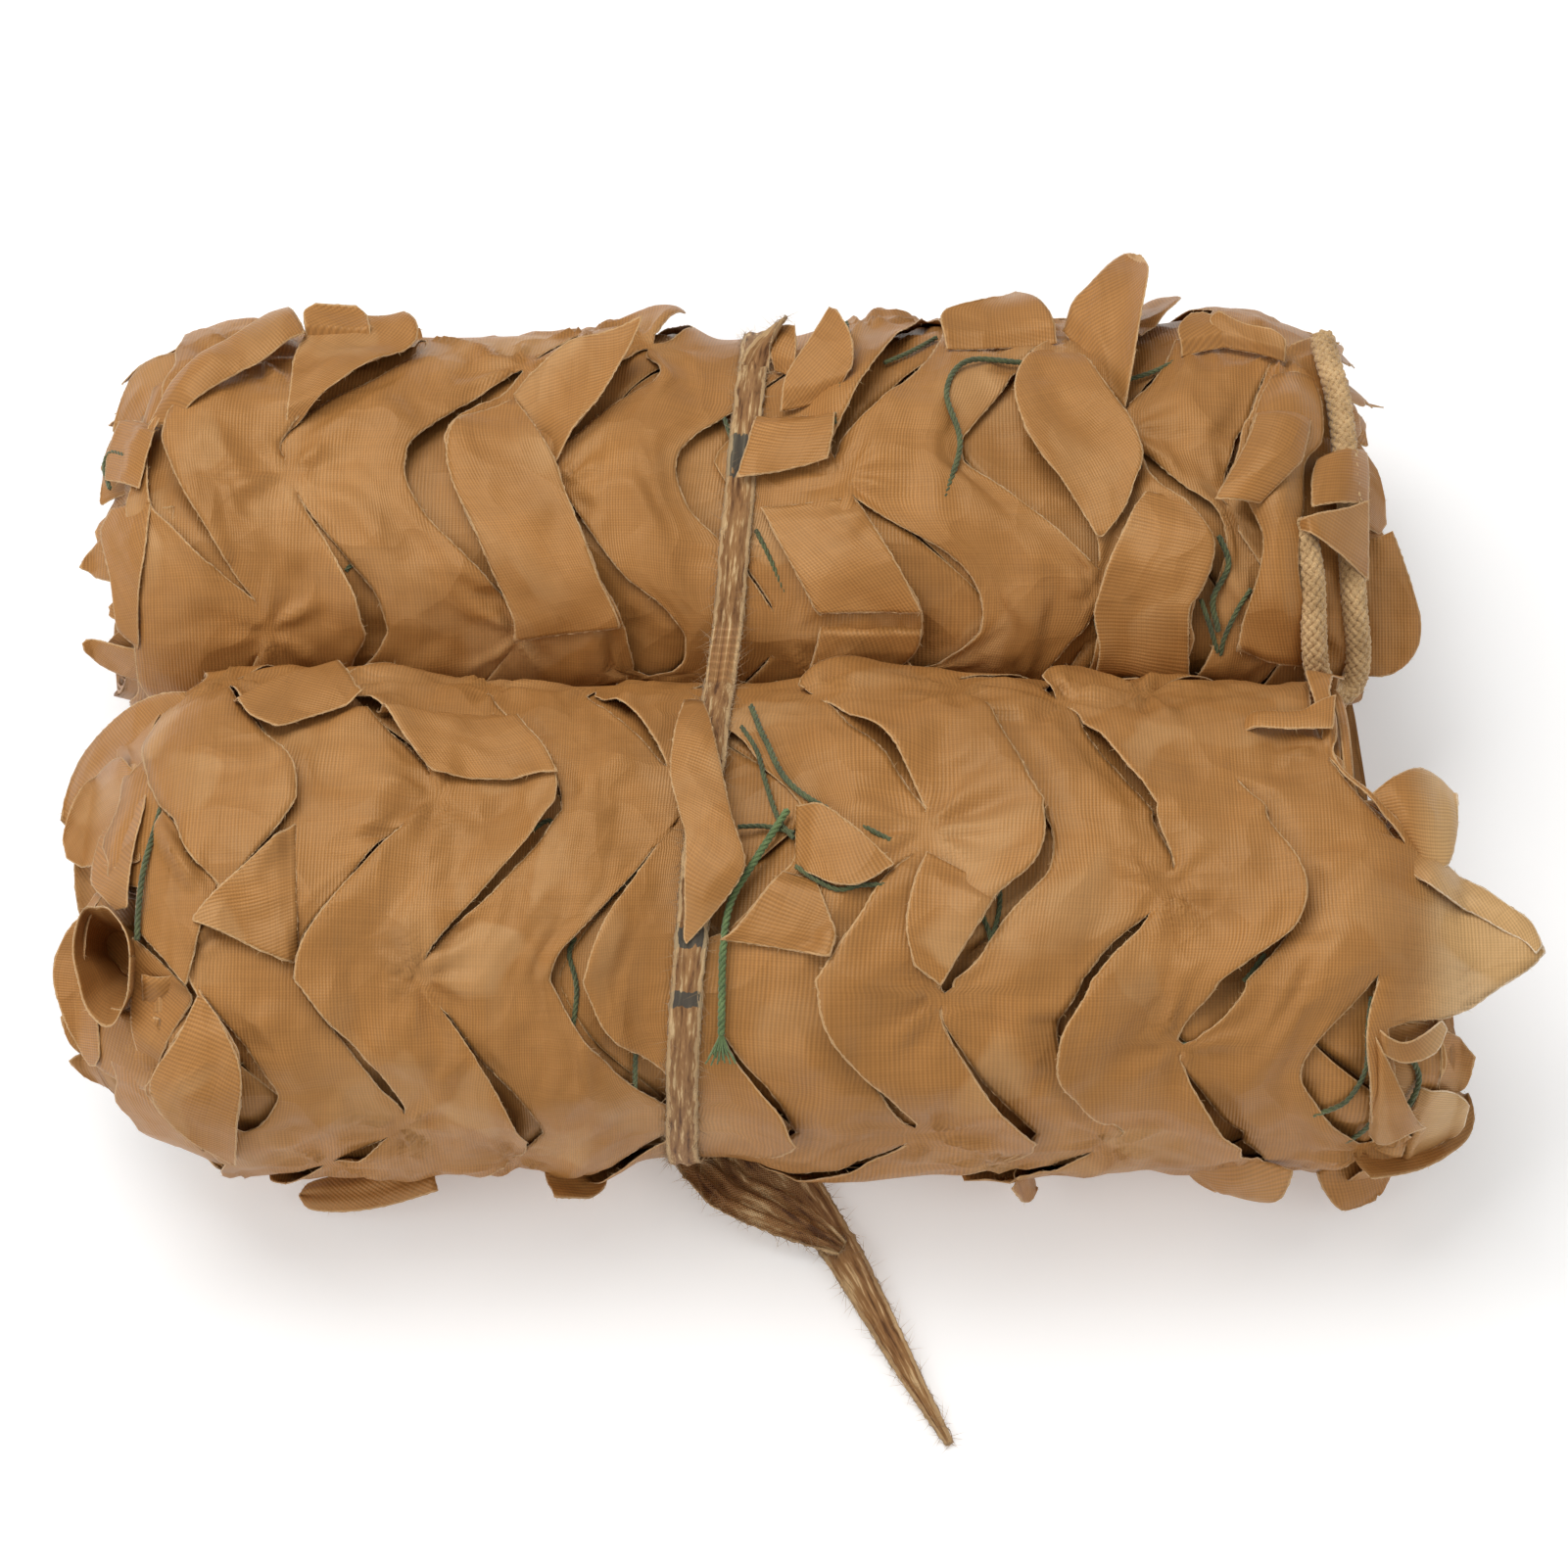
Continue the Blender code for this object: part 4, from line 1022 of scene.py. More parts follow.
def flat_place(tree):
    """A place on the flat cloth in metres, and its two parts: across the cloth and down it."""
    flat = place_node(tree, "ShaderNodeUVMap", uv_map="Flat").outputs[0]
    parts = place_node(tree, "ShaderNodeSeparateXYZ", {0: flat})
    return flat, parts.outputs[0], parts.outputs[1]


def stretched_noise(tree, across, down, wide, tall, detail):
    """Noise with so many waves in a metre across and down the cloth."""
    times = partial(calculate, tree, "MULTIPLY")
    place = place_node(tree, "ShaderNodeCombineXYZ", {0: times(across, wide), 1: times(down, tall)})
    return noise_of(tree, place, 1.0, detail)


def waves(tree, way, spacing):
    """Even ribs across one way of the cloth."""
    return calculate(tree, "SINE", calculate(tree, "MULTIPLY", way, tau / spacing))


def attribute(tree, name):
    return place_node(tree, "ShaderNodeAttribute", attribute_name=name).outputs["Fac"]


def mixed(tree, factor, first, colour, blend="MIX"):
    """A colour that is mixed with one that is the same all over, or multiplied by it."""
    values = {"Factor": factor, 6: first, 7: (*colour, 1)}
    return place_node(
        tree, "ShaderNodeMix", values, data_type="RGBA", blend_type=blend).outputs[2]


def pulled(tree, flat, scale, reach):
    """The place on the cloth, pulled aside by broad noise."""
    aside = noise_of(tree, flat, scale, 2.0, "Color")
    return vector_sum(tree, "ADD", flat, vector_sum(tree, "SCALE", aside, reach))


def leaf_material(name, base, pale):
    """Satin polyester: fine ribs both ways, uneven threads, painted sheen on its facets with some wear,
    pale frayed cuts, and painted light where a single ply stands free.
    """
    surface, tree, shader = new_surface(name, {
        "Roughness": 0.42, "Specular IOR Level": 0.5, "Specular Tint": (1.0, 0.74, 0.46, 1)})
    times, plus, less, _ = sums(tree)
    most, least = (partial(calculate, tree, name) for name in ("MAXIMUM", "MINIMUM"))
    flat, across, down = flat_place(tree)
    streaks = partial(stretched_noise, tree, across, down)

    # the weave, with thick threads in it, and a cloudy shade over all
    weave = plus(times(waves(tree, across, RIB), 0.7), times(waves(tree, down, PICK), 0.3))
    slubs = plus(streaks(1500.0, 25.0, 2.0), streaks(30.0, 1600.0, 2.0))
    cloudy = streaks(35.0, 35.0, 4.0)
    weave = times(weave, times(cloudy, 1.9))
    shade = plus(plus(times(slubs, 0.3), times(cloudy, 0.6)), times(weave, 0.21))
    colour = colour_ramp(tree, shade, [
        (0.30, [0.72 * channel for channel in base]),
        (0.95, [min(1, 1.30 * channel) for channel in base])])

    # painted sheen: pale on some facets and in broad patches, where satin would catch the light, with some
    # pale wear
    facet_sheen = place_node(tree, "ShaderNodeTexVoronoi", {
        "Vector": pulled(tree, flat, 30.0, 0.02), "Scale": 48.0, "Smoothness": 0.35},
        feature="SMOOTH_F1")
    facet_sheen = place_node(tree, "ShaderNodeSeparateColor", {0: facet_sheen.outputs["Color"]})
    facet_sheen = most(times(less(facet_sheen, 0.45), 2.4), 0.0)
    sheen_and_wear_mask = least(most(times(less(streaks(17.0, 17.0, 1.0), 0.42), 5.0), 0.0), 1.0)
    sheen = most(times(less(streaks(60.0, 48.0, 2.0), 0.5), 2.0), 0.0)
    # the pale mix: painted sheen on facets and patches, with some wear
    worn = least(times(plus(facet_sheen, sheen), times(sheen_and_wear_mask, 0.22)), 0.45)
    colour = mixed(tree, worn, colour, pale)

    # frayed pale at its cuts, and painted light: paler where light would come through a single ply
    frayed = calculate(tree, "LESS_THAN", attribute(tree, "Cut"), times(streaks(900.0, 900.0, 2.0), 0.75))
    colour = mixed(tree, times(frayed, 0.6), colour, pale)
    colour = mixed(tree, attribute(tree, "Lit"), colour, PAINTED_THROUGH_LIGHT, "MULTIPLY")

    # creases, and the relief of the weave
    bent = pulled(tree, flat, 26.0, 0.03)
    facets = place_node(tree, "ShaderNodeTexVoronoi", {"Vector": bent, "Scale": 42.0})
    wrinkle = calculate(tree, "ABSOLUTE", less(noise_of(tree, bent, 50.0, 1.0), 0.5))
    creased = less(facets.outputs["Distance"], times(wrinkle, 0.5))
    soft = bumped(tree, creased, 0.8, 0.003)
    finish_surface(tree, shader, colour, bumped(tree, weave, 0.5, 0.0001, Normal=soft))
    return surface


LEAF_CLOTH = leaf_material("leaf cloth", (0.340, 0.152, 0.042), (0.62, 0.40, 0.20))


def fray_tree():
    """Geometry nodes that lay an uneven thread and loose fibres along the open edges of a cloth."""
    tree, given = new_nodes("frayed edges", {
        "Geometry": ["Cloth"],
        "Float": ["Spacing", "Thread radius", "Fibre spacing", "Fibre radius", "Fibre length"],
        "Vector": ["Waver"], "Int": ["Seed"], "Material": ["Surface"]}, "Frays")

    def anywhere(least, most):
        """A random vector for each point."""
        return place_node(tree, "FunctionNodeRandomValue", {
            "Min": least, "Max": most, "Seed": given["Seed"]}, data_type="FLOAT_VECTOR")

    beside = place_node(tree, "GeometryNodeInputMeshEdgeNeighbors")
    outer = calculate(tree, "LESS_THAN", beside, 1.5)
    edge = place_node(tree, "GeometryNodeMeshToCurve", {"Mesh": given["Cloth"], "Selection": outer})
    even = resampled(tree, edge, given["Spacing"])
    back = vector_sum(tree, "SCALE", given["Waver"], -1.0)
    moved = place_node(tree, "GeometryNodeSetPosition",
                       {"Geometry": even, "Offset": anywhere(back, given["Waver"])})
    thread = swept(tree, moved, 3, given["Thread radius"], False)
    roots = resampled(tree, edge, given["Fibre spacing"])
    fibre = place_node(tree, "GeometryNodeMeshCone", {
        "Vertices": 3, "Radius Top": 0.0, "Radius Bottom": given["Fibre radius"],
        "Depth": given["Fibre length"]}, fill_type="NONE")
    fibres = place_node(tree, "GeometryNodeInstanceOnPoints", {
        "Points": roots, "Instance": fibre,
        "Rotation": anywhere((0.0, 0.0, 0.0), (tau, tau, tau)),
        "Scale": anywhere((1.0, 1.0, 0.3), (1.0, 1.0, 1.4))})
    both = place_node(tree, "GeometryNodeJoinGeometry", {0: thread})
    tree.links.new(fibres.outputs[0], both.inputs[0])
    return end_nodes(tree, both, given["Surface"], "Frays")


FRAYS = fray_tree()
FRAYED_THREAD = fibre_material("frayed thread", (0.42, 0.23, 0.08), (0.74, 0.52, 0.28), 2600.0, 0.6)
NET_FRAYS = {"Surface": FRAYED_THREAD, "Spacing": 1.3 * MM, "Thread radius": 0.13 * MM,
             "Waver": 3 * (0.16 * MM,), "Fibre spacing": 3.1 * MM,
             "Fibre radius": 0.07 * MM, "Fibre length": 1.6 * MM}


def places_of(mesh):
    """The places of a mesh's points, as rows of x, y and z."""
    places = np.zeros(3 * len(mesh.vertices))
    mesh.vertices.foreach_get("co", places)
    return places.reshape(-1, 3)


def frayed(piece, seed, settings):
    """The frayed edges of a piece of cloth, as a piece of their own."""
    frays = through_nodes(piece.name + "_frays", piece.data.copy(), FRAYS, {"Seed": seed, **settings})
    places = places_of(frays.data)
    places[:, 2] = np.maximum(places[:, 2], 0.1 * MM)
    frays.data.vertices.foreach_set("co", places.ravel())
    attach(frays, "root")
    return frays


# Where that painted light for a single ply goes: past this along the roll, and above this over the floor.
LIT_FROM, LIT_RUN = 174 * MM, 14 * MM           # along the roll
LIT_ABOVE, LIT_RISE = 30 * MM, 20 * MM          # and over the floor


def paint_light_through(piece):
    """Mark where a piece stands past the right end as a single ply, where a paler colour is painted for the
    light that comes through it.
    """
    x, _, z = places_of(piece.data).T
    lit = ease((x - LIT_FROM) / LIT_RUN) * ease((z - LIT_ABOVE) / LIT_RISE)
    piece.data.attributes.new("Lit", "FLOAT", "POINT").data.foreach_set("value", lit)


ROUNDS, QUICK_ROUNDS = 60, 16
ply_tops = {}
for roll, name in ((FRONT, "front"), (BACK, "back")):
    cloth = LeafCloth(roll, COLUMN_STEP, ROW_STEP, seed=3.0 + roll.side, drawn=CUT_LINES)
    cloth.settled(base=0.3 * MM, rounds=ROUNDS, slack=SLACK)
    piece = cloth.piece("net_outer_" + name)
    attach(piece, "root")
    ply_tops[roll.side] = cloth
    paint_light_through(piece)
    frayed(piece, 1, NET_FRAYS)
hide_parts("netting")

# ======================================== the second ply
# Beneath the outer ply lies the next one of the folded strip, cut and tacked in the same way.
# It shows through the open cuts.
UNDER_DEPTH = 3.4 * MM
UNDER_COLUMN_STEP, UNDER_ROW_STEP = 3.4 * MM, 3.8 * MM
UNDER_SHIFT = 17 * MM         # of its cut lines, along the roll from those above
UNDER_TALLEST = 2.9 * MM      # how high its leaves stand up
for roll, name in ((FRONT, "front"), (BACK, "back")):
    cloth = LeafCloth(roll, UNDER_COLUMN_STEP, UNDER_ROW_STEP, seed=31.0 + roll.side,
                      offset=UNDER_SHIFT, tallest=UNDER_TALLEST)
    cloth.settled(base=-UNDER_DEPTH, rounds=0, slack=0)
    piece = cloth.piece("net_second_" + name)
    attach(piece, "root")

# ======================================== the inner plies
# The rest of the net is one back-and-forth strip of eight plies, wound with the outer ones.
# Its folds and cut edges make the uneven stacks of thin layers that the rolls' ends show.
PLIES = 8
PLY_STATIONS = 25             # points along each ply
WIND_STEP = 8                 # degrees
FOLD_WAVE = 5 * MM            # unevenness of the folds at the ends
TOP_PLY, PLY_GAP = 0.7, 1.65              # millimetres in from the roll's face, and from ply to ply
OUTER_TOP_PLY, OUTER_PLY_GAP = 5.0, 1.12  # the same under the outer and the second ply


def ply_rows():
    """The winding as rows: for each, its roll or None for the run between them, angle and place."""
    rows = [(FRONT, float(angle), 0.0) for angle in range(FRONT.turns, -1, -WIND_STEP)]
    rows += [(None, 0.0, share) for share in (0.15, 0.32, 0.5, 0.68, 0.85)]
    return rows + [(BACK, float(angle), 0.0) for angle in range(0, BACK.turns + 1, WIND_STEP)]


def inner_plies():
    """Points, faces and flat places of the whole folded strip, from one roll's core to the other's."""
    stations = HALF_LENGTH * np.sin(pi / 2 * np.linspace(-1, 1, PLY_STATIONS))
    rows, flats, down = [], [], 0.0
    for number, (roll, angle, share) in enumerate(ply_rows()):
        outermost = ease((angle - 12) / 25) * ease((372 - angle) / 30)
        along, depth, flat_x, flat_at = [], [], [], 0.0
        for ply in range(PLIES):
            level = (TOP_PLY + PLY_GAP * ply) * (1 - outermost)
            level += (OUTER_TOP_PLY + OUTER_PLY_GAP * ply) * outermost
            way = 1 if ply % 2 == 0 else -1
            ends = []
            for side in (-1, 1):
                fold = (ply + (side * way > 0)) // 2
                wave = FOLD_WAVE * noise.noise((number * 0.23, fold * 2.1 + side, 4.0))
                ends.append(reach_of(roll, side, angle) - 3 * MM + wave)
            x = stations * way
            x = np.where(x > 0, x * ends[1], x * ends[0]) / HALF_LENGTH
            wave = np.array([noise.noise((place / (22 * MM), number * 0.25, ply * 0.6)) for place in x])
            along.append(x)
            depth.append((level + 0.5 * wave) * MM)
            flat_x.append(flat_at + np.linspace(0, 2 * HALF_LENGTH, PLY_STATIONS))
            flat_at += 2 * HALF_LENGTH
        along, depth = np.concatenate(along), np.concatenate(depth)
        if roll is None:
            start = on_roll(FRONT, along, 0.0, depth)
            finish = on_roll(BACK, along, 0.0, depth)
            points = start * (1 - share) + finish * share
        else:
            points = on_roll(roll, along, angle, depth)
            points[:, 0] += slipped(roll, angle, along)
        points[:, 2] = np.maximum(points[:, 2], 0.4 * MM)
        if rows:
            down += float(np.median(np.linalg.norm(points - rows[-1], axis=1)))
        rows.append(points)
        flats.append(np.stack([np.concatenate(flat_x), np.full(len(along), down)], axis=1))
    number = np.arange(len(rows) * len(rows[0])).reshape(len(rows), -1)
    outwards = [0, 3, 2, 1]
    return np.concatenate(rows), grid_faces(number)[:, outwards], np.concatenate(flats)


ply_points, ply_faces, ply_flat = inner_plies()
plies = cloth_piece("net_inner_plies", ply_points, ply_faces, ply_flat,
                    np.full(len(ply_points), 1.0), LEAF_CLOTH, thickness=0)
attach(plies, "root")

# ======================================== the loose leaves
# Many leaves have turned over, folded or slipped out of the roll. Each is the same thin cloth,
# still joined at its root, and is cut round, square or to a point.


class LeafHeap:
    """Gathers leaves into one mesh of cloth."""

    def __init__(self):
        self.points, self.faces, self.flats, self.cuts, self.count = [], [], [], [], 0

    def add(self, points, flat, to_cut):
        """points is a grid, rows from root to tip, of shape rows by columns by 3."""
        rows, columns = points.shape[:2]
        self.faces.append(grid_faces(self.count + np.arange(rows * columns).reshape(rows, columns)))
        self.points.append(points.reshape(-1, 3))
        self.flats.append(flat.reshape(-1, 2))
        self.cuts.append(to_cut.ravel())
        self.count += rows * columns

    def piece(self, name, surface):
        """All its leaves as one piece, none of them below the floor."""
        points = np.concatenate(self.points)
        points[:, 2] = np.maximum(points[:, 2], 0.3 * MM)
        return cloth_piece(name, points, np.concatenate(self.faces), np.concatenate(self.flats),
                           np.concatenate(self.cuts), surface)


def turned_flat(across, down, degrees, number):
    """A leaf's own weave direction and place on the cloth."""
    cosine, sine = cos(radians(degrees)), sin(radians(degrees))
    return np.stack([across * cosine - down * sine + 0.37 * number,
                     across * sine + down * cosine + 0.53 * number], axis=-1)


LyingLeaf = namedtuple("LyingLeaf", "name roll weave curl sections")
# The weave's direction is in degrees and the curl in millimetres. The sections go from root to tip.
# Each has its left edge's place along and angle, its right edge's, and its rise in millimetres.
LYING_LEAVES = [LyingLeaf(*row) for row in (
    ("leaf over the tie", FRONT, 70, -1.5, [
        (-10, 217, -4, 216, 5), (-11, 201, 0, 202, 7), (-11, 189, 5, 187, 8), (-7, 181, 9, 179, 8.5),
        (-4, 177, 13, 172, 8.5), (-3, 168, 11, 167, 7.5), (-2, 161, 6, 161, 6), (-2, 156, 1, 156, 4.5),
        (-1, 154, -1, 154, 4)]),
    ("left point", FRONT, 0, 0.5, [
        (-135, 180, -132, 150, 2), (-145, 174, -142, 153, 3), (-154, 168, -152, 157, 4),
        (-159, 164, -158, 159, 4), (-162, 161, -162, 160, 4)]),
    ("square leaf", FRONT, 0, 0, [
        (-114, 211, -72, 213, 1.5), (-108, 202, -66, 204, 3), (-101, 195, -59, 197, 3.5),
        (-95, 190, -52, 189, 3.5)]),
    ("fold at the crease", FRONT, 40, 1, [
        (-156, 211, -130, 238, 6), (-150, 203, -123, 221, 5), (-142, 200, -118, 212, 3)]),
    ("low left leaf", FRONT, 65, 1.5, [
        (-161, 142, -159, 142, 3), (-166, 133, -153, 135, 5), (-173, 124, -149, 128, 6),
        (-175, 118, -148, 121, 7), (-172, 110, -150, 111, 7), (-166, 101, -152, 100, 6),
        (-156, 90, -155, 90, 5)]),
    ("folded leaf right of the tie", FRONT, 55, 1, [
        (24, 183, 25, 172, 2), (30, 182, 29, 170, 3), (37, 179, 34, 168, 4), (42, 176, 40, 168, 4),
        (47, 172, 47, 172, 3)]),
    ("crumpled leaf right of the tie", FRONT, 80, 1.5, [
        (22, 171, 30, 169, 3), (18, 166, 33, 162, 4), (12, 158, 35, 157, 4), (8, 155, 34, 152, 2)]),
    ("turned corner", FRONT, 20, 0.5, [
        (54, 175, 71, 167, 4), (51, 167, 67, 161, 4), (50, 159, 62, 153, 3), (52, 150, 58, 145, 2)]),
    ("strip end at the crease", FRONT, 90, -3, [
        (138, 211, 136, 204, 4), (147, 208, 147, 202, 6), (157, 209, 157, 202, 6),
        (166, 213, 164, 202, 5)]),
    ("leaf with a square end", BACK, 10, 1, [
        (-78, 169, -76, 169, 4), (-92, 176, -67, 180, 5), (-95, 182, -62, 185, 5),
        (-93, 190, -58, 193, 5), (-87, 201, -51, 205, 5), (-81, 214, -45, 216, 5),
        (-74, 229, -38, 227, 5), (-74, 237, -36, 232, 4)]),
    ("pointed leaf at the back", BACK, 35, 2, [
        (-77, 167, -63, 186, 3), (-71, 162, -56, 179, 5), (-62, 158, -48, 174, 8),
        (-50, 157, -41, 165, 12), (-36, 155, -36, 156, 16)]),
    ("rolled strip at the back left", BACK, 80, -3, [
        (-182, 174, -174, 177, 4), (-173, 165, -164, 172, 8), (-158, 154, -149, 163, 10),
        (-143, 138, -136, 152, 12)]),
    ("rounded leaf at the back left", BACK, 30, 1, [
        (-140, 179, -139, 178, 2), (-139, 170, -126, 168, 3), (-139, 159, -113, 157, 5),
        (-137, 152, -106, 150, 7), (-135, 147, -106, 143, 9), (-128, 144, -110, 136, 10)]),
    ("tongue at the back left", BACK, 60, 1, [
        (-136, 151, -118, 149, 9), (-137, 145, -120, 141, 11), (-134, 142, -123, 139, 13)]),
    ("curl beside the tie", BACK, 20, -2, [
        (7, 156, 13, 160, 4), (5, 152, 13, 154, 8), (8, 146, 12, 147, 11)]),
    ("triangle right of the tie", BACK, 35, 1, [
        (10, 172, 25, 170, 4), (11, 165, 30, 166, 7), (17, 156, 29, 159, 11), (22, 148, 24, 150, 15)]),
    ("folded patch right of the tie", BACK, 75, 1, [
        (3, 173, 26, 175, 5), (1, 181, 26, 180, 6), (-1, 188, 25, 185, 5)]),
    ("square leaf at the crease", BACK, 15, 0.5, [
        (7, 195, 33, 195, 4), (13, 205, 39, 204, 5), (20, 217, 46, 215, 6), (25, 227, 52, 227, 5)]),
    ("leaf below the square one", BACK, 30, 0.5, [
        (26, 230, 52, 230, 2), (25, 238, 51, 239, 3), (23, 248, 44, 251, 3)]),
    ("high leaf at the back", BACK, 10, 1, [
        (57, 154, 92, 151, 4), (55, 147, 90, 144, 6), (57, 142, 86, 137, 8), (67, 137, 79, 124, 9)]),
    ("long lobe", BACK, 20, 1.5, [
        (92, 149, 96, 150, 3), (81, 161, 103, 165, 5), (77, 171, 110, 174, 6), (79, 179, 115, 179, 6),
        (84, 185, 119, 186, 6), (91, 191, 116, 192, 5), (97, 198, 112, 199, 4), (103, 206, 105, 206, 3)]),
    ("tall pointed leaf", BACK, 40, 3, [
        (94, 146, 114, 175, 4), (99, 140, 117, 167, 8), (107, 135, 121, 154, 13),
        (116, 128, 124, 143, 18), (120, 134, 122, 135, 21)]),
    ("round leaf at the back right", BACK, 70, 1, [
        (135, 159, 152, 155, 5), (134, 153, 149, 150, 7), (139, 146, 143, 145, 8)]),
    ("edge at the back right", BACK, 10, 1, [
        (148, 155, 168, 161, 5), (145, 150, 168, 157, 7), (148, 148, 164, 154, 8)]),
    ("long strip on the right", BACK, 10, -5, [
        (163, 167, 177, 164, 9), (159, 175, 178, 173, 12), (154, 183, 177, 182, 13),
        (151, 190, 171, 188, 12), (153, 198, 170, 198, 11), (157, 206, 168, 207, 11),
        (156, 215, 168, 217, 10), (152, 229, 172, 231, 8), (150, 240, 176, 247, 6)]),
    ("flap on the strip", BACK, 85, -4, [
        (158, 178, 175, 177, 13), (154, 184, 170, 188, 16), (149, 190, 166, 192, 16),
        (142, 198, 156, 199, 14)]),
    ("band beside the opening", BACK, 85, 1, [
        (120, 194, 133, 196, 5), (116, 198, 138, 201, 6), (112, 204, 142, 207, 6),
        (107, 212, 141, 214, 6), (104, 220, 137, 222, 5), (102, 228, 134, 226, 5),
        (104, 238, 134, 237, 5), (103, 248, 135, 252, 4)]),
    ("leaf over the rope", BACK, 20, 1, [
        (166, 203, 166, 204, 13), (173, 201, 174, 207, 14), (183, 198, 182, 211, 14),
        (191, 194, 190, 216, 13)]),
    ("tube over the rope", BACK, 85, -3, [
        (176, 185, 192, 179, 12), (173, 191, 192, 186, 13), (172, 199, 191, 195, 13)]),
    ("end leaf front left", FRONT, 40, 1, [
        (-174, 184, -156, 168, 0), (-177, 179, -160, 159, 0.5), (-180, 170, -162, 152, 1),
        (-180, 160, -164, 145, 0.5)]),
    ("lower leaf front left", FRONT, 70, 1, [
        (-181, 158, -164, 144, -1), (-181, 147, -163, 140, 0), (-181, 133, -170, 129, 0),
        (-177, 115, -176, 114, -1)]),
    ("upper leaf front left", FRONT, 20, 1, [
        (-186, 223, -179, 232, -1), (-194, 228, -182, 206, 0), (-190, 200, -178, 191, 0),
        (-186, 185, -174, 184, -1)]),
    ("leaf back left", BACK, 35, 1, [
        (-193, 192, -179, 194, 1), (-196, 199, -180, 208, 2), (-192, 216, -182, 222, 2),
        (-190, 235, -183, 242, 1)]),
    ("upper leaf back left", BACK, 80, 1, [
        (-193, 165, -178, 176, 0), (-196, 175, -181, 182, 1), (-196, 182, -183, 190, 1)]),
    ("fold in the crease left of the middle", BACK, 15, 1, [
        (43, 254, 48, 244, 4), (51, 255, 54, 248, 6), (64, 259, 65, 256, 5)]),
    ("fold in the crease", BACK, 60, 1.5, [
        (99, 261, 100, 252, 4), (114, 255, 117, 248, 6), (129, 257, 130, 250, 6), (143, 266, 143, 260, 4)]),
    ("fold by the tie", BACK, 50, 1, [
        (10, 257, 14, 252, 3), (21, 257, 23, 250, 5), (30, 261, 31, 257, 4)]),
    ("rolled edge of the right flap", FRONT, 30, -3, [
        (186, 180, 183, 174, 5), (195, 177, 191, 170, 10), (205, 173, 201, 167, 13),
        (212, 168, 210, 162, 16), (218, 164, 216, 159, 17), (221, 158, 219, 156, 17)]),
    ("rolled flap off the right end", FRONT, 15, -2, [
        (173, 187, 185, 179, 3), (181, 191, 190, 176, 8), (189, 195, 195, 176, 12),
        (196, 196, 198, 180, 14), (201, 194, 200, 185, 14)]),
    ("narrow flap below the large one", FRONT, 75, 2, [
        (171, 135, 170, 130, 3), (179, 131, 180, 125, 5), (186, 133, 190, 127, 6),
        (192, 137, 194, 134, 6)]),
    ("pointed flap near the right end", FRONT, 55, 1, [
        (170, 135, 173, 96, 4), (177, 123, 177, 97, 6), (183, 111, 183, 100, 7), (188, 101, 190, 99, 6)]),
    ("round flap at the lower right", FRONT, 20, 1, [
        (187, 113, 182, 81, 2.5), (195, 111, 191, 81, 4), (202, 105, 201, 85, 4), (204, 100, 204, 90, 3)]),
    ("outer flap at the left end", FRONT, 80, 1, [
        (-195, 173, -189, 174, 0), (-203, 165, -196, 167, -1), (-207, 152, -197, 152, -2),
        (-204, 136, -193, 138, -1), (-199, 122, -192, 124, 1), (-196, 117, -194, 118, 1)]),
    ("leaf behind the loop", FRONT, 20, 0, [
        (-204, 190, -172, 192, -5), (-203, 178, -170, 178, -9), (-200, 164, -170, 166, -24),
        (-198, 148, -170, 148, -30), (-196, 134, -170, 134, -28), (-190, 120, -172, 120, -14)]),
    ("folded leaf above the loop", FRONT, 35, 2, [
        (-192, 188, -180, 191, 0.5), (-195, 183, -180, 184, 2), (-196, 176, -182, 177, 2.5),
        (-191, 170, -183, 170, 1), (-187, 166, -183, 166, -1)]),
    ("brown leaf at the left end", FRONT, 10, 2, [
        (-184, 198, -180, 176, 0), (-195, 214, -187, 176, 1), (-202, 212, -194, 179, 2),
        (-206, 197, -201, 181, 2), (-207, 189, -205, 183, 2)]),
)]
LYING_GRID = (32, 21)         # points from root to tip and across
CRUMPLE = 0.9 * MM            # of a lying leaf's noise, its creases and its gap to the ply beneath


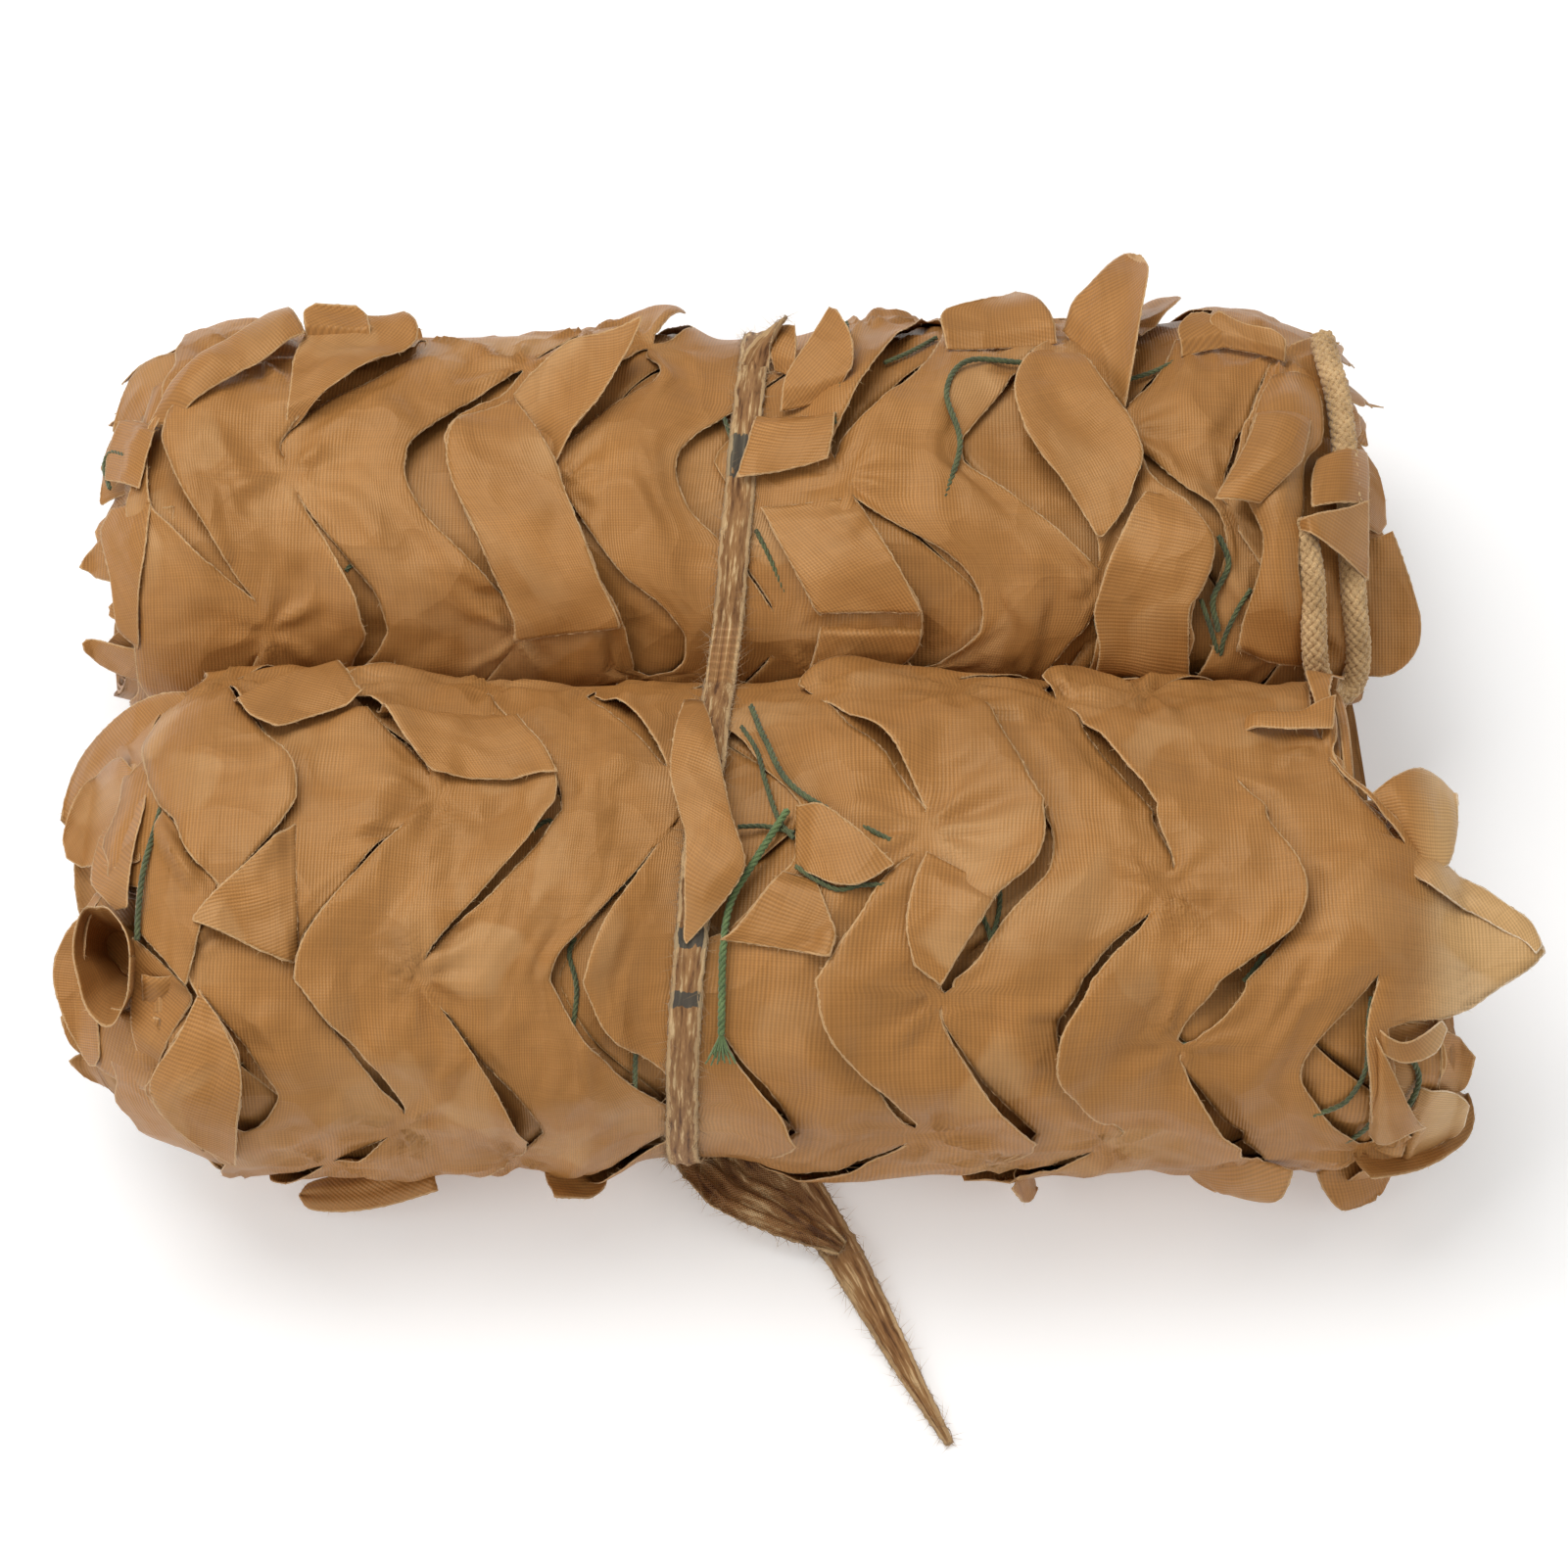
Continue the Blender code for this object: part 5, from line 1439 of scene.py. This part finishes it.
def lying_leaf(leaf, number, grid):
    """A leaf that lies on the roll: a sheet across its sections, from its root to its tip."""
    rows, columns = grid
    angles, arcs = arc_table(leaf.roll)
    knots = np.array(leaf.sections, float)
    for angle_of_edge in (1, 3):
        knots[:, angle_of_edge] = np.interp(-knots[:, angle_of_edge], -angles, arcs) / MM
    places = np.linspace(0, len(knots) - 1, rows)
    span = np.minimum(places.astype(int), len(knots) - 2)
    line = MM * curved(padded(knots), span, (places - span)[:, None])
    side = np.linspace(0, 1, columns)[None, :]
    x, v = (line[:, edge:edge + 1] * (1 - side) + line[:, edge + 2:edge + 3] * side for edge in (0, 1))
    wide = np.hypot(line[:, 2] - line[:, 0], line[:, 3] - line[:, 1])[:, None]
    length = way_along(np.stack([x.mean(axis=1), v.mean(axis=1)], axis=1))
    down = np.repeat(length[:, None], columns, axis=1)
    across = (side - 0.5) * wide
    crumple = leaf_noise(across / (15 * MM), down / (19 * MM), 5.0 + number)
    crease = 0.5 - 2 * abs(leaf_noise(across / (30 * MM), down / (24 * MM), 9.0 + number))
    height = line[:, 4:5] + leaf.curl * MM * (2 * side - 1) ** 2 * np.minimum(1, wide / (25 * MM))
    height = height + CRUMPLE * crumple + CRUMPLE * crease
    root = ease(down / length[-1] / 0.2)
    height = height * (0.5 + 0.5 * root)
    angle = np.interp(v, arcs, angles)
    if leaf.name == "end leaf":
        height = np.minimum(height, 9 * MM * ease((abs(x) - 177 * MM) / (12 * MM)) - 0.6 * MM)
    elif knots[:, 4].max() > 0:   # a leaf with no rise at all lies beneath the outer ply
        bed = (ply_tops[leaf.roll.side].height_at(x, angle) + CRUMPLE) * root
        height = (height + bed + np.sqrt((height - bed) ** 2 + MM ** 2)) / 2
    points = on_roll(leaf.roll, x, angle, -height)
    to_cut = np.minimum(wide * np.minimum(side, 1 - side), length[-1] - down)
    return points, turned_flat(across, down, leaf.weave, number), to_cut


lying = LeafHeap()
for number, leaf in enumerate(LYING_LEAVES):
    lying.add(*lying_leaf(leaf, number, LYING_GRID))

# A leaf folded round on itself stands open at the left end of the front roll.
LOOP_WIDE, LOOP_LONG, LOOP_HIGH = 9, 16, 18     # half width, half length and height, millimetres
LOOP_SUNK = 30                                  # how deep its foot is, millimetres
LOOP_ALONG, LOOP_ANGLE = -190, 153
LOOP_ROWS, LOOP_COLUMNS = 18, 60                # points down it and round it
LOOP_CUT = 90 * MM                              # the way round it in the flat cloth
LOOP_WEAVE = 84                                 # degrees
around = np.linspace(0, tau, LOOP_COLUMNS)[None, :]
sunk = np.linspace(0, 1, LOOP_ROWS)[:, None]
uneven = 1 + 0.07 * np.sin(3 * around + 1.0) + 0.02 * np.sin(7 * around)
left_side = np.clip(-np.cos(around), 0, 1)
narrowing = 1 - 0.25 * sunk
loop_slant = 4 * sunk - 3.5 * np.sin(around)
loop_along = LOOP_ALONG + LOOP_WIDE * np.cos(around) * narrowing * uneven + loop_slant
loop_angle = LOOP_ANGLE + LOOP_LONG * np.sin(around) * narrowing * uneven
loop_rise = LOOP_HIGH * (0.45 + 0.35 * left_side) - 2 * np.sin(around)
loop_rise = loop_rise * (1 - sunk) - LOOP_SUNK * sunk
loop_points = on_roll(FRONT, loop_along * MM, loop_angle, -loop_rise * MM)
loop_across = (around / tau) * LOOP_CUT + 0 * sunk
loop_down = LOOP_HIGH * MM * sunk + 0 * around
lying.add(loop_points, turned_flat(loop_across, loop_down, LOOP_WEAVE, 91), loop_down)
lying_leaves = lying.piece("net_lying_leaves", LEAF_CLOTH)
paint_light_through(lying_leaves)
frayed(lying_leaves, 2, NET_FRAYS)
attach(lying_leaves, "root")

# ======================================== the leaves at the rolls' ends
# Folded edges and leaf tips of many plies stick out at both ends of the rolls, each a little
# differently. They are the same cloth as the rest.
END_GRID = (16, 13)
END_LEAVES = 18               # at each end of each roll
END_SEED = 12
END_ROOT, END_TIP = 172, 190  # where they come out of the roll and how far the least of them reach
END_FROM, END_OVER = 72, 191  # degrees round the roll: the first leaf, and how far the others spread
end_leaves = LeafHeap()
chance = np.random.default_rng(END_SEED)
for roll in (FRONT, BACK):
    for end in (-1, 1):
        for number in range(END_LEAVES):
            angle = END_FROM + END_OVER * (number + chance.random()) / END_LEAVES
            half = 6 + 12 * chance.random() ** 2
            reach = (2 + 13 * chance.random() ** 2) * end
            depth = 1 - 13 * chance.random()
            lean = 22 * (chance.random() - 0.5)
            bend = 5 * (chance.random() - 0.4)
            tip = end * END_TIP + reach
            narrow = 0.35 + 0.5 * chance.random()
            sections = []
            for share, wide, lift in ((0, 1, 0), (0.5, 1.05, 0.4), (0.8, 0.5 + narrow / 2, 0.9),
                                      (0.94, narrow, 1.1), (1, narrow * 0.45, 1.1)):
                along = end * END_ROOT * (1 - share) + tip * share
                middle = angle + lean * share ** 2
                sections.append((along + end * 3 * (chance.random() - 0.5), middle + half * wide,
                                 along, middle - half * wide, depth + bend * lift))
            weave, curl = 90 * chance.random(), 3 * chance.random() - 1
            leaf = LyingLeaf("end leaf", roll, weave, curl, sections)
            crowded = roll is FRONT and (angle > 178 if end > 0 else 124 < angle < 182)
            if not crowded:
                end_leaves.add(*lying_leaf(leaf, 60 + 17 * number, END_GRID))
leaves_at_ends = end_leaves.piece("net_end_leaves", LEAF_CLOTH)
frayed(leaves_at_ends, 3, NET_FRAYS)
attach(leaves_at_ends, "root")

# Other leaves stand off the rolls: large flaps at the ends, and leaf ends along the front.
StandingLeaf = namedtuple(
    "StandingLeaf",
    "roll along angle tip_x tip_y tip_z bow root_width middle_width tip_width faces weave curl")
# Places, tips, bow, widths and curl are in millimetres, angle and weave in degrees.
STANDING_LEAVES = [StandingLeaf(*row) for row in (
    # right end
    (BACK, 190, 212, 182, 10, 58, -8, 24, 32, 28, "out", 15, 3),
    (FRONT, 174, 84, 199, -119, 30, 2, 26, 28, 20, "up", 5, 3),
    # left end
    (FRONT, -176, 214, -220, -41, 54, 8, 30, 36, 24, "up", 60, 3),
    (FRONT, -162, 140, -168, -143, 30, 5, 30, 38, 4, "out", 50, 2),
    (BACK, -176, 200, -214, 60, 64, 8, 36, 34, 26, "out", 35, 3),
    (BACK, -176, 158, -213, 92, 68, 5, 28, 32, 24, "up", 80, 3),
    # along the front, near the floor
    (FRONT, -104, 62, -149, -140, 4, 1, 18, 16, 8, "up", 45, 0),
    (FRONT, -50, 66, -57, -133, 15, -2, 26, 26, 20, "up", 0, 1),
    (FRONT, 80, 62, 72, -139, 8, -1, 18, 17, 9, "up", 30, 1),
    (FRONT, 136, 74, 126, -146, 19, 4, 34, 34, 20, "up", 65, 1),
    (FRONT, 176, 60, 174, -143, 9, 4, 22, 24, 16, "up", 20, 1),
)]
STANDING_ROWS, STANDING_COLUMNS = 30, 18
ROOT_DEPTH, ROOT_LENGTH = 2, 7  # how deep and how far back a leaf's root lies, in millimetres


def standing_leaf(leaf, number):
    """A leaf that stands off the roll: a bowed, arched sheet from its root to its own tip."""
    roll, along, angle = leaf.roll, leaf.along * MM, leaf.angle
    root = Vector(on_roll(roll, along, angle, ROOT_DEPTH * MM))
    outward = (Vector(on_roll(roll, along, angle, -6 * MM)) - root).normalized()
    tip = Vector((leaf.tip_x, leaf.tip_y, leaf.tip_z)) * MM
    reach = tip - root
    facing = Vector((0, 0, 1)) if leaf.faces == "up" else outward
    across = reach.cross(facing).normalized()
    tangent = (reach - outward * reach.dot(outward)).normalized()
    start = root - tangent * ROOT_LENGTH * MM
    bend = root.lerp(tip, 0.5) + outward * (leaf.bow + 4) * MM
    length = reach.length
    tip_half = leaf.tip_width * MM / 2
    rounding = max(0.04, 1.2 * tip_half / length)
    rows = np.zeros((STANDING_ROWS, STANDING_COLUMNS, 3))
    wide = np.zeros((STANDING_ROWS, STANDING_COLUMNS))
    side = np.linspace(-1, 1, STANDING_COLUMNS)
    for row, share in enumerate(np.linspace(0, 1, STANDING_ROWS)):
        weights = ((1 - share) ** 2, 2 * share * (1 - share), share ** 2)
        middle = start * weights[0] + bend * weights[1] + tip * weights[2]
        heading = (bend - start).lerp(tip - bend, share)
        facing = across.cross(heading).normalized()
        half = (leaf.root_width * weights[0] + leaf.middle_width * weights[1]
                + leaf.tip_width * weights[2]) * MM / 2
        past = max(0.0, (share - 1 + rounding) / rounding)
        half *= max(0.02, 1 - past ** 2.4) ** 0.5
        wide[row] = half
        for column, place in enumerate(side):
            arch = -half * 0.16 * abs(place) + leaf.curl * MM * share * (place * 0.5) ** 2
            twist = leaf.curl * MM * 0.5 * place * share
            wrinkle = 0.9 * MM * noise.noise((place * 2.2, share * 3.0, number * 3.1))
            crease = 0.5 * MM * sin(7 * place + number) * (1 - share) ** 2
            off = arch + twist + wrinkle + crease
            rows[row, column] = middle + across * half * place + facing * off
    down = np.repeat(np.linspace(0, length, STANDING_ROWS)[:, None], STANDING_COLUMNS, axis=1)
    to_cut = np.minimum(wide * (1 - abs(side)[None, :]), length - down)
    return rows, turned_flat(side[None, :] * wide, down, leaf.weave, number + 40), to_cut


standing = LeafHeap()
for number, leaf in enumerate(STANDING_LEAVES):
    standing.add(*standing_leaf(leaf, number))
standing_leaves = standing.piece("net_standing_leaves", LEAF_CLOTH)
frayed(standing_leaves, 4, NET_FRAYS)
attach(standing_leaves, "root")

# ======================================== the tie
# A torn strip of blotched desert cloth goes round the middle. Its edges are frayed, one short end
# stands at the back, and the long end is twisted where it leaves the net and lies on the floor.
TIE_WIDTH = 9 * MM
TIE_OVER = 2.6 * MM           # over the plain rolls
TIE_COLUMNS = 15
TIE_FLAT = 11 * MM            # half the strip's width in its own pattern
TIE_THREADS = 0.9 * MM        # the coarse weave's spacing
TIE_BROWNS = ((0.115, 0.042, 0.010), (0.27, 0.122, 0.038), (0.40, 0.205, 0.072), (0.74, 0.52, 0.27))
TIE_DARK_PATCHES = ((243, 8), (217, 6), (442, 12))    # how far round the strip, and reach, in millimetres
TIE_PATCH_DARK = (0.035, 0.048, 0.045)


def blotched_material():
    """Coarse cotton in tan and browns, streaked along its folds, with three dark patches."""
    surface, tree, shader = new_surface("blotched cotton", {"Roughness": 0.6})
    times, plus, less, over = sums(tree)
    _, across, down = flat_place(tree)
    patches = partial(stretched_noise, tree, across, down, detail=3.0)
    streaked = plus(times(patches(330.0, 55.0), 0.75), times(patches(900.0, 260.0), 0.25))
    colour = colour_ramp(tree, streaked, zip((0.36, 0.43, 0.55, 0.63), TIE_BROWNS))
    # Darker in three patches: each so far round the strip, with its reach.
    nearest = 0.0
    for middle, reach in TIE_DARK_PATCHES:
        away = calculate(tree, "ABSOLUTE", less(down, middle * MM))
        nearest = calculate(tree, "MAXIMUM", less(1.0, over(away, reach * MM)), nearest)
    dark_patch = calculate(tree, "GREATER_THAN", plus(nearest, patches(170.0, 170.0)), 0.95)
    colour = mixed(tree, times(dark_patch, 0.85), colour, TIE_PATCH_DARK)
    worn = calculate(tree, "LESS_THAN", attribute(tree, "Cut"), times(patches(600.0, 120.0), 2.2))
    colour = mixed(tree, times(worn, 0.55), colour, TIE_BROWNS[-1])
    threads = times(waves(tree, across, TIE_THREADS), waves(tree, down, TIE_THREADS))
    lit = place_node(tree, "ShaderNodeHueSaturation", {
        "Color": colour, "Value": plus(1.0, times(threads, 0.3))})
    finish_surface(tree, shader, lit.outputs["Color"], bumped(tree, threads, 0.6, 0.0003))
    return surface


BLOTCHED = blotched_material()
TIE_THREAD = fibre_material("tie fibre", (0.17, 0.09, 0.035), (0.52, 0.35, 0.18), 1500.0, 0.85)
tie_heap = LeafHeap()


def tie_band():
    """The strip round the waist, bunched into lengthwise folds, its edges uneven."""
    stops = [(FRONT, angle) for angle in np.arange(4, 231, 2.0)]
    stops += [(BACK, angle) for angle in np.arange(230, 3, -2.0)]
    side = np.linspace(-1, 1, TIE_COLUMNS)
    rows, flats = [], []
    for number, (roll, angle) in enumerate(stops):
        torn = 1 + 0.10 * noise.noise((number * 0.35, 0.0, 2.0))
        torn += 0.06 * noise.noise((number * 1.3, 0.0, 5.0))
        fold = 0.35 * MM * np.sin(6.0 * side + 2.2 * noise.noise((number * 0.07, 1.0, 0.0)))
        fold = fold * (1 - 0.3 * side ** 2) - 0.6 * MM * abs(side) ** 4
        along = side * TIE_WIDTH / 2 * torn + 0.5 * MM * noise.noise((number * 0.11, 3.0, 1.0))
        rows.append(on_roll(roll, along, angle, -(TIE_OVER + fold)))
        flats.append(np.stack([side * TIE_FLAT, np.full(TIE_COLUMNS, number * 3.2 * MM)], axis=1))
    to_cut = np.repeat(((1 - abs(side)) * TIE_WIDTH / 2)[None, :], len(rows), axis=0)
    return np.array(rows), np.array(flats), to_cut


tie_heap.add(*tie_band())

# Stops of the loose strips: x, y, z and width in millimetres, and the twist about its line in degrees.
TAIL_LAP = [
    (-29.5, -93, 4, 10, 0), (-30.5, -110, 4, 11, 0), (-30, -123, 6, 14, 5), (-26.5, -132, 8, 17, 12),
    (-19, -141, 9, 19, 18), (-7, -147, 8.5, 18, 14), (5, -153, 6.5, 12, 8), (14, -158, 5, 5, 0)]
TAIL = [
    (-18, -118, 7, 17, 0), (-10, -127, 6.5, 20, 5), (-1, -137, 5.5, 18, 8), (7.5, -148, 5, 13, 10),
    (14, -159, 4, 11.5, 0), (21.5, -173, 3, 9.5, -6), (29.5, -189, 2.5, 7.5, -6), (36, -202, 2, 5.5, 0),
    (41.5, -212, 1.5, 4, 0), (45, -218.5, 1.2, 2.6, 0)]
EAR = [
    (-13, 96, 93, 9, 0), (-12, 101, 95, 9, 10), (-10, 106, 97, 8, 30), (-6, 110, 100, 7, 50),
    (-3, 112, 103.5, 4, 65)]


def ribbon(stops, spacing, folds, depth):
    """A strip along a route, twisted as its stops say and rippled lengthwise."""
    knots = np.array(stops, float)
    knots[:, :4] *= MM
    line = smooth_route(knots, spacing)
    side = np.linspace(-1, 1, TIE_COLUMNS)
    heading = np.gradient(line[:, :3], axis=0)
    heading /= np.linalg.norm(heading, axis=1)[:, None]
    level = np.cross(heading, (0, 0, 1))
    level /= np.linalg.norm(level, axis=1)[:, None]
    rise = np.cross(level, heading)
    turn = np.radians(line[:, 4])[:, None]
    wide = level * np.cos(turn) + rise * np.sin(turn)
    thick = rise * np.cos(turn) - level * np.sin(turn)
    rows = []
    for number, place in enumerate(line):
        torn = 1 + 0.08 * noise.noise((number * 0.5, 8.0, 2.0))
        ripple = depth * np.sin(folds * side + 1.5 * noise.noise((number * 0.12, 6.0, 0.0)) + number * 0.05)
        rows.append(place[:3] + np.outer(side * place[3] / 2 * torn, wide[number])
                    + np.outer(ripple * min(1, place[3] / (8 * MM)), thick[number]))
    down = np.repeat((np.arange(len(line)) * spacing)[:, None], TIE_COLUMNS, axis=1)
    flat = np.stack([np.repeat((side * 0.012)[None, :], len(line), axis=0), down + 2.0], axis=-1)
    to_cut = (1 - abs(side))[None, :] * line[:, 3:4] / 2
    return np.array(rows), flat, to_cut


tie_heap.add(*ribbon(TAIL_LAP, 1.0 * MM, 11.0, 1.3 * MM))
tie_heap.add(*ribbon(TAIL, 1.2 * MM, 3.0, 0.8 * MM))
tie_heap.add(*ribbon(EAR, 0.8 * MM, 6.0, 0.9 * MM))
tie = tie_heap.piece("tie_cloth", BLOTCHED)
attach(tie, "root")
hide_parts("tie_strip")
tie_frays = frayed(tie, 5, {
    "Surface": TIE_THREAD, "Spacing": 0.9 * MM, "Thread radius": 0.16 * MM,
    "Waver": 3 * (0.35 * MM,), "Fibre spacing": 0.55 * MM,
    "Fibre radius": 0.08 * MM, "Fibre length": 5.5 * MM})
